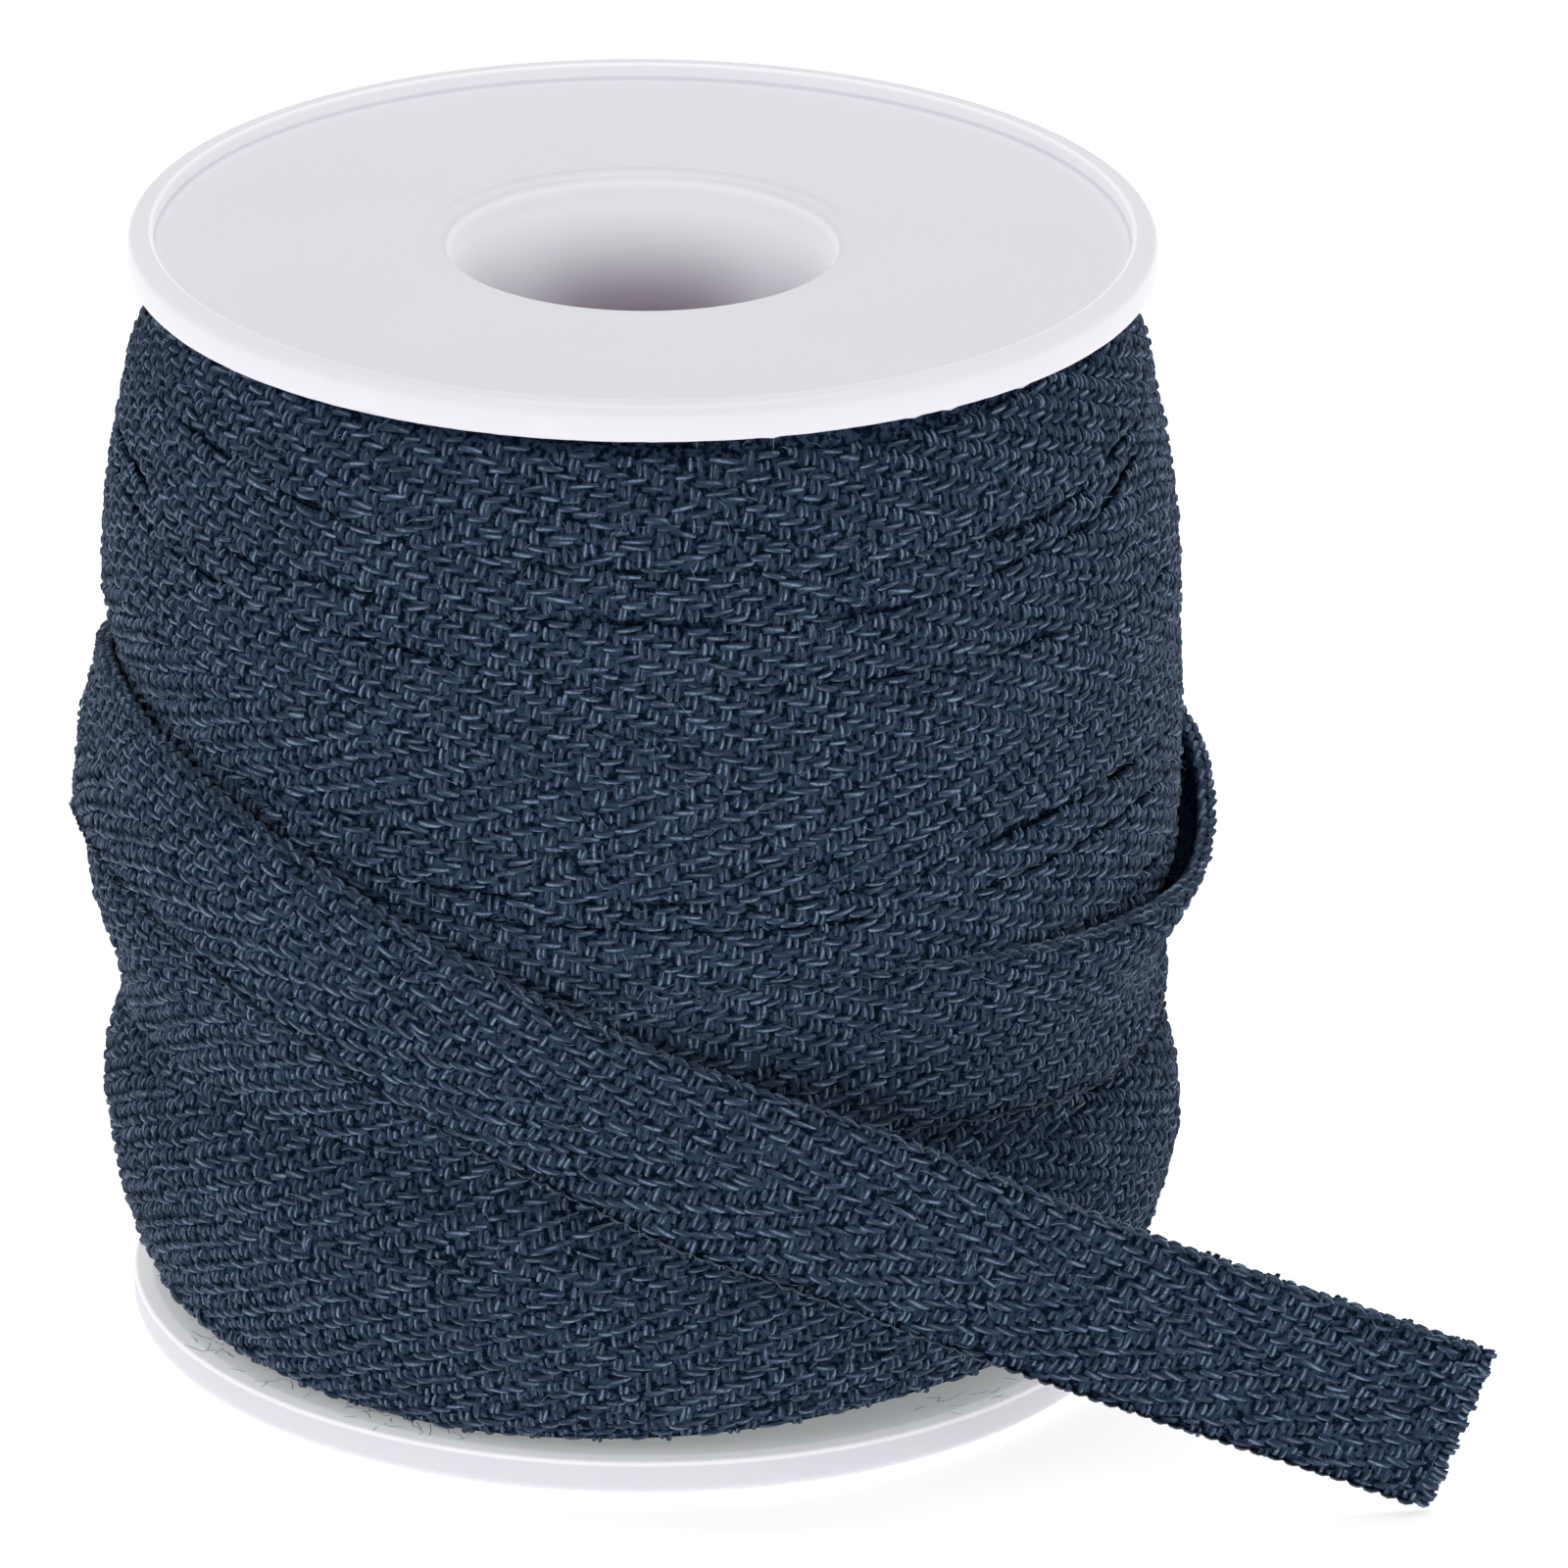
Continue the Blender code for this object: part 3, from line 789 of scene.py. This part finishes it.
print("lengthwise yarns:", WARP_YARNS, "and", round(1000 * WARP_PITCH, 2), "mm apart")

# %% [markdown]
# At the cord's two edges the crosswise pairs turn round and go back, which
# gives the edge its small scallops. At the cut end the lengthwise yarns stick
# out as short tufts, some a little further than others.

# %% Edges and cut end
SCALLOP = ((0.00140, 0.00008), (0.00064, 0.00005), (0.00024, 0.00003))
SCALLOP_INSET = 0.00006
STUB_WIDTH = (0.00046, 0.00004)
STUB_HEIGHT = (0.00030, 0.00003)
STUB_FROM_END = 0.0006
STUB_LAYERS = 3


def selvedge(middle_grid, side, thickness):
    """Scallops round one edge of a strip, in two rows."""
    column = 0 if side < 0 else middle_grid.shape[1] - 1
    run = run_along(middle_grid, column)
    pair, row = np.meshgrid(np.arange(int(run[-1] / PAIR_PITCH)), [-1, 1], indexing="ij")
    pair, row = pair.ravel(), row.ravel()
    count = len(pair)
    along = PAIR_PITCH * (pair + 0.5 + 0.06 * row) + rng.normal(0, 0.00008, count)
    size = drawn(SCALLOP, count)
    on_edge = np.full(count, side * CORD_WIDTH / 2)
    middle, axes, size = placed(middle_grid, run, along, on_edge, np.zeros(count), size)
    one, two, out = axes[:, 0], axes[:, 1] * side, axes[:, 2]
    row = row[on_cord(along, run)]
    middle = middle + out * (row * thickness / 4)[:, None] - two * SCALLOP_INSET
    slant = np.radians(rng.normal(11, 4, len(middle)))[:, None]
    lengthwise = one * np.cos(slant) + out * np.sin(slant)
    around = np.cross(two, lengthwise)
    return middle, np.stack([lengthwise, around, two], axis=1), size


def cut_end(grid, thickness):
    """Short stubs of the lengthwise yarns where the strip is cut, in layers."""
    run = run_along(grid, grid.shape[1] // 2)
    yarn_place, layer = np.meshgrid(np.arange(WARP_YARNS), np.arange(STUB_LAYERS), indexing="ij")
    yarn_place, layer = yarn_place.ravel(), layer.ravel()
    count = len(yarn_place)
    across_place = (yarn_place + 0.5 - WARP_YARNS / 2) * WARP_PITCH
    across_place = across_place + rng.normal(0, 0.00004, count)
    size = np.stack([
        rng.uniform(0.0007, 0.0013, count), rng.normal(*STUB_WIDTH, count),
        rng.normal(*STUB_HEIGHT, count)], axis=1)
    middle, axes, size = placed(
        grid, run, np.full(count, run[-1] - STUB_FROM_END), across_place,
        np.radians(rng.normal(0, 9, count)), size)
    tuft = 0.00035 + 0.00012 * np.sin(across_place / 0.00031)
    depth = layer * thickness / (STUB_LAYERS - 1)
    middle = middle + axes[:, 0] * tuft[:, None] - axes[:, 2] * depth[:, None]
    return middle, axes, size


print("scallops on the loose end's edge:", int(loose_run[-1] / PAIR_PITCH), "a row")

# %% [markdown]
# Cotton is never smooth: single fibres stand off the cloth in all directions,
# and a few have come off and lie on the white flange below, where they show.

# %% Fuzz and fallen fibres
FIBRE_WIDTH = 0.000022
FALLEN_WIDTH = 0.00006
FALLEN_RADII = (0.0325, 0.0352)


def fuzz(grid, mask, count, longest):
    """Single fibres that stand off the cloth in all directions."""
    run = run_along(grid, grid.shape[1] // 2)
    size = np.stack([
        rng.uniform(0.0003, longest, count), np.full(count, FIBRE_WIDTH),
        rng.uniform(0.0001, 0.0005, count)], axis=1)
    along = rng.uniform(0, run[-1], count)
    across_place = rng.uniform(-0.49, 0.49, count) * CORD_WIDTH
    return placed(grid, run, along, across_place, rng.uniform(0, math.tau, count), size, mask)


def lying_fibres(count):
    """Short fibres that have come off and lie on the lower flange."""
    on_left = rng.random(count) < 0.6
    angle = np.where(on_left, rng.uniform(-65, -20, count), rng.uniform(35, 75, count))
    height = np.full(count, RIM_HEIGHT + 0.00002)
    middle = on_roll(angle, rng.uniform(*FALLEN_RADII, count), height)
    turn = rng.uniform(0, math.tau, count)
    zero = np.zeros(count)
    one = np.stack([np.cos(turn), np.sin(turn), zero], axis=1)
    two = np.stack([-np.sin(turn), np.cos(turn), zero], axis=1)
    out = np.stack([zero, zero, zero + 1], axis=1)
    size = np.stack([
        rng.uniform(0.0007, 0.0016, count), np.full(count, FALLEN_WIDTH),
        rng.uniform(0.00002, 0.0003, count)], axis=1)
    return middle, np.stack([one, two, out], axis=1), size


print("width of a single fibre in mm:", 1000 * FIBRE_WIDTH)

# %% [markdown]
# Not every place needs yarns. A turn gets them only where nothing lies over
# it, so the masks leave out what the loose turn hides. They leave out the yarns
# under the upper flange too, so that the dark cloth there is a painted shade. The
# loose end also gets yarns on its inner side, where it hangs free; elsewhere its
# inner side is bare dark cloth, a painted shade where it stands off the roll.

# %% Yarns laid on the strips
UNDER_LOOSE_TURN = 0.0045
BIGHT_ANGLES = (52, 112)
CROSSING_ANGLE = 338
PAINTED_SHADE_ABOVE = 0.0768
FREE_BACK_STATIONS = 12
first_loose_angle = LOOSE_TURN[0][0]
loose_angle = (turn_grid - first_loose_angle) % 360 + first_loose_angle
in_bight = (loose_angle >= BIGHT_ANGLES[0]) & (loose_angle <= BIGHT_ANGLES[1])
hidden = np.abs(height_grid - curve(LOOSE_TURN, loose_angle)) < UNDER_LOOSE_TURN
hidden &= ~in_bight & (loose_angle < CROSSING_ANGLE)
# Painted shade: no yarns under the upper flange, so the dark cloth shows there.
shade_under_flange = height_grid > PAINTED_SHADE_ABOVE
wound_weave = weave(sunk(wound_grid, YARN_DEPTH), shows_grid * ~(hidden | shade_under_flange))
loose_weave = weave(sunk(loose_outer, YARN_DEPTH))
# The inner side gets yarns only near the free end; elsewhere the bare dark cloth is a painted
# shade.
back_mask = np.zeros(loose_inner.shape[:2])
back_mask[len(loose_angles) - FREE_BACK_STATIONS:] = 1
back_grid = (loose_inner + loose_out * YARN_DEPTH)[:, ::-1]
back_weave = weave(back_grid, back_mask[:, ::-1])
edges = [selvedge(loose_middle, side, CORD_THICKNESS) for side in (-1, 1)]
ends = cut_end(sunk(loose_outer, YARN_DEPTH), cloth_thickness)
fibres = [
    fuzz(wound_grid, shows_grid * ~hidden, 16000, 0.0011), fuzz(loose_outer, None, 2000, 0.0011),
    fuzz(loose_middle, None, 300, 0.0014), lying_fibres(70)]
print("floats on the roll:", len(wound_weave[0][0]), "pairs:", len(wound_weave[1][0]))
print("floats on the loose end:", len(loose_weave[0][0]) + len(back_weave[0][0]))

# %% [markdown]
# All floats of a piece become one mesh. The roll's are shared out by height,
# so that no piece is too heavy. Each float has its own shade, kept as an
# attribute for the material.

# %% Joined yarns


def joined(name, laid):
    """One mesh of many laid floats."""
    points, faces, uvs, tones = [], [], [], []
    start = 0
    for (shape_points, shape_faces, shape_uvs), (middle, axes, size) in laid:
        scaled = shape_points[None] * size[:, None]
        points.append((middle[:, None] + scaled @ axes).reshape(-1, 3))
        count = len(middle)
        first = start + np.arange(count) * len(shape_points)
        faces.append((first[:, None, None] + shape_faces[None]).reshape(-1, 4))
        start += count * len(shape_points)
        millimetres = np.stack([size[:, 0] * 1000, np.ones(count)], axis=1)
        uvs.append((shape_uvs[None] * millimetres[:, None]).reshape(-1, 2))
        tones.append(np.repeat(rng.random(count), len(shape_points)))
    points, faces = np.concatenate(points), np.concatenate(faces)
    uvs, tones = np.concatenate(uvs), np.concatenate(tones)
    mesh = bpy.data.meshes.new(name)
    mesh.vertices.add(len(points))
    mesh.vertices.foreach_set("co", points.ravel())
    mesh.loops.add(faces.size)
    mesh.loops.foreach_set("vertex_index", faces.ravel())
    mesh.polygons.add(len(faces))
    mesh.polygons.foreach_set("loop_start", np.arange(len(faces)) * 4)
    mesh.update(calc_edges=True)
    mesh.uv_layers.new(name="yarn").data.foreach_set("uv", uvs[faces.ravel()].ravel())
    tone = mesh.attributes.new("tone", "FLOAT", "POINT")
    tone.data.foreach_set("value", tones)
    mesh.shade_smooth()
    print(name, "triangles:", 2 * len(faces))
    return in_scene(name, mesh)


def between(laid, low, high):
    """The floats whose middles lie between two heights."""
    middle, axes, size = laid
    keep = (middle[:, 2] >= low) & (middle[:, 2] < high)
    return middle[keep], axes[keep], size[keep]


YARN_BANDS = (
    # name, from height, to height
    ("yarns_low", 0.0, 0.0275),
    ("yarns_middle", 0.0275, 0.0530),
    ("yarns_top", 0.0530, SPOOL_HEIGHT),
)
roll_yarns = []
for name, low, high in YARN_BANDS:
    roll_yarns.append(joined(name, [
        (long_yarn, between(wound_weave[0], low, high)),
        (short_yarn, between(wound_weave[1], low, high))]))
loose_yarns = joined("yarns_loose", [
    (long_yarn, loose_weave[0]), (short_yarn, loose_weave[1]),
    (long_yarn, back_weave[0]), (short_yarn, back_weave[1]),
    (short_yarn, edges[0]), (short_yarn, edges[1]), (short_yarn, ends)])
fuzz_fibres = joined("fuzz_fibres", [(one_fibre, laid) for laid in fibres])

# %% [markdown]
# ## Spool
#
# The spool is one plastic moulding, so it is turned from one section. The rim
# stands round a sunk face, and every corner of a moulding is rounded. More
# steps than in the packed solids keep its outline smooth. The upper flange's
# lower edge, where the mould closed, is very slightly uneven, with small dents.

# %% Spool
FLANGE_RADIUS = 0.036
RIM_WIDTH = 0.0018
RECESS_DEPTH = 0.0012
BORE_RADIUS = 0.0135
CORNER_STEPS = 5
MOULD_UNEVEN = 0.00001
DENT_DEPTH = 0.00015
UNDENTED_SHARE = 0.985


def corner(radius, height, rounding, first, last):
    """Points of a rounded corner in the spool's section."""
    for step in range(CORNER_STEPS + 1):
        turn = math.radians(first + (last - first) * step / CORNER_STEPS)
        yield (radius + rounding * math.cos(turn), height + rounding * math.sin(turn))


def spool_section():
    """Closed section of the spool, as radius and height: its upper half and a mirror image."""
    top = SPOOL_HEIGHT
    floor = top - RECESS_DEPTH
    inner = FLANGE_RADIUS - RIM_WIDTH
    upper = list(corner(BORE_RADIUS + 0.0010, floor - 0.0008, 0.0010, 180, 62))
    upper += list(corner(0.0158, floor + 0.0006, 0.0006, 242, 270))
    upper += list(corner(inner - 0.0002, floor + 0.0002, 0.0002, 270, 350))
    upper += list(corner(inner + 0.0003, top - 0.0003, 0.0003, 170, 90))
    upper += list(corner(FLANGE_RADIUS - 0.0008, top - 0.0008, 0.0008, 90, 0))
    upper += list(corner(FLANGE_RADIUS - 0.0003, top - RIM_HEIGHT + 0.0003, 0.0003, 0, -90))
    upper.append((CORE_RADIUS, top - RIM_HEIGHT))
    lower = [(radius, top - height) for radius, height in reversed(upper)]
    return upper + lower


spool = turned_ring("turned_spool", spool_section(), 300)
for vert in spool.data.vertices:
    flange_edge = vert.co.xy.length > FLANGE_RADIUS - 0.0007
    if flange_edge and SPOOL_HEIGHT - RIM_HEIGHT - 0.0001 < vert.co.z < SPOOL_HEIGHT - 0.0019:
        vert.co.z += rng.normal(0, MOULD_UNEVEN) - DENT_DEPTH * (rng.random() > UNDENTED_SHARE)
print("spool faces:", len(spool.data.polygons))

# %% [markdown]
# ## Materials
#
# A small class wraps a material's sockets, so that a pattern reads as a sum.
# Numbers on either side become Math nodes, and everything else goes through
# one method.

# %% Material sums


class Value:
    """A socket of a material's node tree."""

    def __init__(self, tree, socket):
        self.tree = tree
        self.socket = socket

    def node(self, kind, settings=None, inputs=None, output=0):
        """Add a node: its settings first, then its values and links."""
        added = self.tree.nodes.new(kind)
        for name, setting in (settings or {}).items():
            setattr(added, name, setting)
        for name, value in (inputs or {}).items():
            target = added.inputs[name]
            if isinstance(value, Value):
                self.tree.links.new(value.socket, target)
            else:
                target.default_value = value
        return Value(self.tree, added.outputs[output])

    def math(self, operation, first, second=0.0):
        return self.node("ShaderNodeMath", {"operation": operation}, {0: first, 1: second})

    def __add__(self, other):
        return self.math("ADD", self, other)

    def __radd__(self, other):
        return self.math("ADD", other, self)

    def __sub__(self, other):
        return self.math("SUBTRACT", self, other)

    def __rsub__(self, other):
        return self.math("SUBTRACT", other, self)

    def __mul__(self, other):
        return self.math("MULTIPLY", self, other)

    def __rmul__(self, other):
        return self.math("MULTIPLY", other, self)

    def __truediv__(self, other):
        return self.math("DIVIDE", self, other)

    def sine(self):
        return self.math("SINE", self)

    def root(self):
        return self.math("SQRT", self)

    def noise(self, scale, detail):
        """Noise read at this value, which is a place."""
        return self.node(
            "ShaderNodeTexNoise", inputs={"Vector": self, "Scale": scale, "Detail": detail})

    def parts(self):
        """The coordinates of this value, which is a place."""
        split = self.node("ShaderNodeSeparateXYZ", inputs={0: self}).socket.node
        return [Value(self.tree, output) for output in split.outputs]

    def clamped(self):
        """Keep the value between 0 and 1."""
        return self.node("ShaderNodeClamp", inputs={"Value": self})

    def ramp(self, low, high):
        """Rise softly from 0 to 1 between two values."""
        return self.node(
            "ShaderNodeMapRange", {"interpolation_type": "SMOOTHSTEP"},
            {"Value": self, "From Min": low, "From Max": high})

    def band(self, low, high, soft_low, soft_high):
        """Rise softly at one value and fall softly before another."""
        return (self - low).ramp(0.0, soft_low) * (high - self).ramp(0.0, soft_high)

    def blend(self, first, second):
        """Mix two colours by this value."""
        return self.node(
            "ShaderNodeMix", {"data_type": "RGBA"},
            {0: self, 6: first, 7: second}, output=2)


def new_material(name, roughness, constants):
    """A Principled material, and its tree wrapped as a value to start from."""
    material = bpy.data.materials.new(name)
    material.use_nodes = True
    tree = material.node_tree
    shader = tree.nodes["Principled BSDF"]
    shader.inputs["Roughness"].default_value = roughness
    for socket, constant in constants.items():
        shader.inputs[socket].default_value = constant
    coordinates = tree.nodes.new("ShaderNodeTexCoord")
    return material, shader, Value(tree, coordinates.outputs["Object"])


def drive(shader, socket, value):
    """Let a pattern feed one of the shader's sockets."""
    value.tree.links.new(value.socket, shader.inputs[socket])


def raise_surface(shader, strength, distance, height):
    """Let a pattern raise the surface, in look only."""
    drive(shader, "Normal", height.node("ShaderNodeBump", inputs={
        "Strength": strength, "Distance": distance, "Height": height}))


print("steps a value knows:", [step for step in vars(Value) if not step.startswith("_")])

# %% [markdown]
# The yarn is two plies of navy cotton. Its colour goes from one float to the
# next by the float's own tone, and each float is painted darker towards its
# sides, a painted shade. Painted highlights lie along the ply ridges, broken up
# by noise. The plies run round the float as slanted ridges, which only a bump can
# carry at this size.

# %% Yarn material
# The darkest colour is a painted shade for the floats' sides, the palest a painted highlight.
NAVY_PAINTED_SHADE = (0.0150, 0.0270, 0.0510, 1.0)
NAVY = (0.0360, 0.0620, 0.1150, 1.0)
NAVY_PAINTED_HIGHLIGHT = (0.2600, 0.3600, 0.5200, 1.0)
PLIES_ACROSS = 8.5
PLIES_SLANT = 2.6


def yarn_material():
    """Twisted navy cotton, for the floats, with painted shade at their sides and painted
    highlights on the plies.
    """
    material, shader, place = new_material("navy_yarn", 0.75, {
        "Sheen Weight": 0.08, "Sheen Roughness": 0.5, "Specular IOR Level": 0.12})
    tone = place.node("ShaderNodeAttribute", {"attribute_name": "tone"}, output=2)
    uv = place.node("ShaderNodeUVMap", {"uv_map": "yarn"})
    along, across_yarn = uv.parts()[:2]
    round_off = (across_yarn * math.pi).sine()
    # Painted shade: each float darker towards its sides, lighter along its middle.
    core = round_off * round_off
    fibre = place.noise(3800.0, 3.0)
    patch = place.noise(150.0, 2.0)
    plies = (across_yarn * PLIES_ACROSS + along * PLIES_SLANT + tone * 40.0).sine()
    body = core * (0.10 + tone * 0.55 + patch * 0.6)
    ridge = plies * 0.5 + 0.5
    # Painted highlight along the ply ridges.
    ply_highlight = ridge * ridge * core * (fibre * 4.0 - 1.2).clamped()
    colour = body.clamped().blend(NAVY_PAINTED_SHADE, NAVY)
    colour = (ply_highlight * (0.30 + tone * 0.6)).clamped().blend(colour, NAVY_PAINTED_HIGHLIGHT)
    drive(shader, "Base Color", colour)
    raise_surface(shader, 0.7, 0.00005, plies * 0.5 + fibre * 0.8)
    return material


yarn = yarn_material()
print("yarn material:", yarn.name)

# %% [markdown]
# Between the floats the cloth behind them shows, painted dark for the shade there, and flecked.
# Single fibres are painted paler than the yarn, a painted highlight for the light they take more.

# %% Cloth and fuzz materials
# The darker cloth colour is a painted shade between the yarns.
CLOTH_GAP_SHADE = (0.0030, 0.0065, 0.0140, 1.0)
CLOTH_FILL = (0.0300, 0.0510, 0.0920, 1.0)


def fuzz_material():
    """Single cotton fibres, each with a tone of its own towards a painted highlight."""
    material, shader, place = new_material("navy_fuzz", 0.8, {"Specular IOR Level": 0.1})
    tone = place.node("ShaderNodeAttribute", {"attribute_name": "tone"}, output=2)
    # Painted highlight: each fibre paler by its own tone.
    drive(shader, "Base Color", tone.blend(NAVY, NAVY_PAINTED_HIGHLIGHT))
    return material


def shaded_cloth_material():
    """The cloth that shows between the floats, painted dark for the shade there."""
    material, shader, place = new_material("navy_cloth_painted_shade", 0.95, {"Specular IOR Level": 0.0})
    fibre = place.noise(2300.0, 3.0)
    drive(shader, "Base Color", fibre.ramp(0.40, 0.62).blend(CLOTH_GAP_SHADE, CLOTH_FILL))
    raise_surface(shader, 0.5, 0.00008, fibre)
    return material


gap = shaded_cloth_material()
fuzz_cotton = fuzz_material()
print("cloth materials:", gap.name, fuzz_cotton.name)

# %% [markdown]
# The white plastic is thin and lets light through. The sunk face is painted a
# little greyer, a painted shade. The bore is painted darker with depth, most on
# its front and back where x is small, a painted shade. The rims' edges, the
# bore's mouth and the lower flange's face get a painted glow, an emission that
# stands in for light coming through the plastic. All of this is read from the
# place on the spool itself.

# %% Plastic material
PLASTIC_DARK = (0.83, 0.815, 0.875, 1.0)
PLASTIC_PALE = (0.87, 0.855, 0.91, 1.0)
# This grey is a painted shade for the sunk face.
PLASTIC_SUNK_SHADE = (0.72, 0.72, 0.75, 1.0)
# This dark colour is a painted shade for the deep bore.
PLASTIC_BORE_SHADE = (0.27, 0.20, 0.27, 1.0)
# The glow colours give a painted glow, an emission standing in for light through the plastic.
NO_GLOW = (0.0, 0.0, 0.0, 1.0)
PAINTED_GLOW_COLOUR = (0.96, 1.0, 0.98, 1.0)


def painted_glow_of_plastic(radius, height):
    """How much painted glow the plastic gets at a place, standing in for light that comes through.
    """
    mouth = (height - 0.0690).ramp(0.0, 0.0100) * (0.0139 - radius).ramp(0.0, 0.0004)
    rim_line = radius.band(0.0340, 0.0346, 0.0001, 0.0002) * (height - 0.0799).ramp(0.0, 0.0003)
    outer_ring = (radius - 0.0346).ramp(0.0, 0.0002)
    lower_face = height.band(0.0022, 0.0030, 0.0003, 0.0002) * (outer_ring * 0.25 + 0.75)
    upper_foot = height.band(0.0776, 0.0783, 0.0002, 0.0001) * (radius - 0.0352).ramp(0.0, 0.0002)
    lower_foot = height.band(0.0026, 0.0030, 0.0001, 0.0001) * (radius - 0.03585).ramp(0.0, 0.0001)
    foot_line = upper_foot + lower_foot
    return (mouth * 0.26 + rim_line * 0.15 + lower_face * 0.33 + foot_line * 0.12).clamped()


def plastic_material():
    """White moulded plastic, slightly see-through, with painted shade and a painted glow."""
    material, shader, place = new_material("white_plastic", 0.36, {
        "Subsurface Weight": 0.1, "Subsurface Scale": 0.0006, "Specular IOR Level": 0.45,
        "Emission Strength": 1.0})
    cloud = place.noise(60.0, 2.0)
    x, y, height = place.parts()
    radius = (x * x + y * y).root()
    white = cloud.blend(PLASTIC_DARK, PLASTIC_PALE)
    # Painted shade: the sunk face greyer than the rim.
    sunk_face_shade = (0.0340 - radius).ramp(0.0, 0.0008) * (height - 0.0780).ramp(0.0, 0.0004)
    white = (sunk_face_shade * 0.38).blend(white, PLASTIC_SUNK_SHADE)
    # Painted shade: the bore darker with depth, most on its front and back where x is small.
    in_bore = (0.0142 - radius).ramp(0.0, 0.0004)
    far_wall_shade = 1.0 - (x * x).ramp(0.0, 0.00008) * 0.7
    depth = (0.0775 - height).ramp(0.0, 0.0085) * in_bore * far_wall_shade
    drive(shader, "Base Color", (depth * 0.82).blend(white, PLASTIC_BORE_SHADE))
    painted_glow = painted_glow_of_plastic(radius, height)
    # Painted glow: emission on the rim lines, the bore's mouth, the lower flange's face and the
    # flanges' feet.
    drive(shader, "Emission Color", painted_glow.blend(NO_GLOW, PAINTED_GLOW_COLOUR))
    raise_surface(shader, 0.12, 0.0001, cloud)
    return material


plastic = plastic_material()
for piece in roll_yarns + [loose_yarns]:
    piece.data.materials.append(yarn)
# The strips and the inner winding wear the cloth painted dark for shade.
for piece in (wound_strip, loose_strip, inner_winding):
    piece.data.materials.append(gap)
spool.data.materials.append(plastic)
fuzz_fibres.data.materials.append(fuzz_cotton)
print("materials:", [material.name for material in (yarn, gap, fuzz_cotton, plastic)])

# %% [markdown]
# ## What belongs to what
#
# Each piece hangs from the root, and the plain solid that it shows in full is
# hidden. Those plain solids take the materials of the pieces that show them.

# %% Pieces and their nodes
for piece in [wound_strip, inner_winding, fuzz_fibres] + roll_yarns:
    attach(piece, "root")
    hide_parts("wound_roll")
for piece in (loose_strip, loose_yarns):
    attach(piece, "root")
    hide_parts("loose_end")
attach(spool, "root")
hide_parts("spool")
node_materials = {"spool": plastic, "wound_roll": gap, "loose_end": gap}
for name, material in node_materials.items():
    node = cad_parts[name]
    node.data.materials.clear()
    node.data.materials.append(material)
print("nodes shown in their own material:", sorted(node_materials))

# %% [markdown]
# ## Floor and light
#
# The photograph has a white surround with hardly a shadow: a pale floor, an
# even bright surround, a large soft light from the upper left and a weaker one
# from the right.

# %% Floor and light
bm = bmesh.new()
bmesh.ops.create_grid(bm, x_segments=1, y_segments=1, size=3.0)
floor = in_scene("floor", smooth_mesh(bm, "floor"))
floor.location.z = -0.0001
pale_floor = new_material("pale_floor", 0.9, {
    "Base Color": (0.93, 0.93, 0.93, 1.0), "Specular IOR Level": 0.1,
    "Emission Color": (1.0, 1.0, 1.0, 1.0), "Emission Strength": 0.5})
floor.data.materials.append(pale_floor[0])
floor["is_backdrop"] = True

world = bpy.data.worlds.new("surround")
world.use_nodes = True
background = world.node_tree.nodes["Background"]
background.inputs["Color"].default_value = (1.0, 1.0, 1.0, 1.0)
background.inputs["Strength"].default_value = 0.66
bpy.context.scene.world = world


def soft_light(name, place, size, power):
    """A square light that faces the spool."""
    light = bpy.data.lights.new(name, "AREA")
    light.size = size
    light.energy = power
    lamp = in_scene(name, light)
    lamp.location = place
    lamp.rotation_euler = (TARGET - Vector(place)).to_track_quat("-Z", "Y").to_euler()


soft_light("key_light", (-0.60, -0.95, 0.90), 0.45, 1.2)
soft_light("fill_light", (0.90, -0.90, 0.50), 0.60, 0.35)
soft_light("top_light", (0.05, 0.20, 1.50), 0.80, 5.2)
bpy.context.scene.view_settings.view_transform = "Standard"
print("lights: 3 and the surround")

# %% [markdown]
# ## Finish
#
# The two boxes are printed, to compare the packed model with what is shown.

# %% Finish
shown_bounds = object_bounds()
boxes = {
    "packed": [list(corner_point) for corner_point in packed_bounds],
    "shown": [list(corner_point) for corner_point in shown_bounds],
}
for name, box in boxes.items():
    print(name, "box in mm:", [[round(1000 * value, 1) for value in point] for point in box])
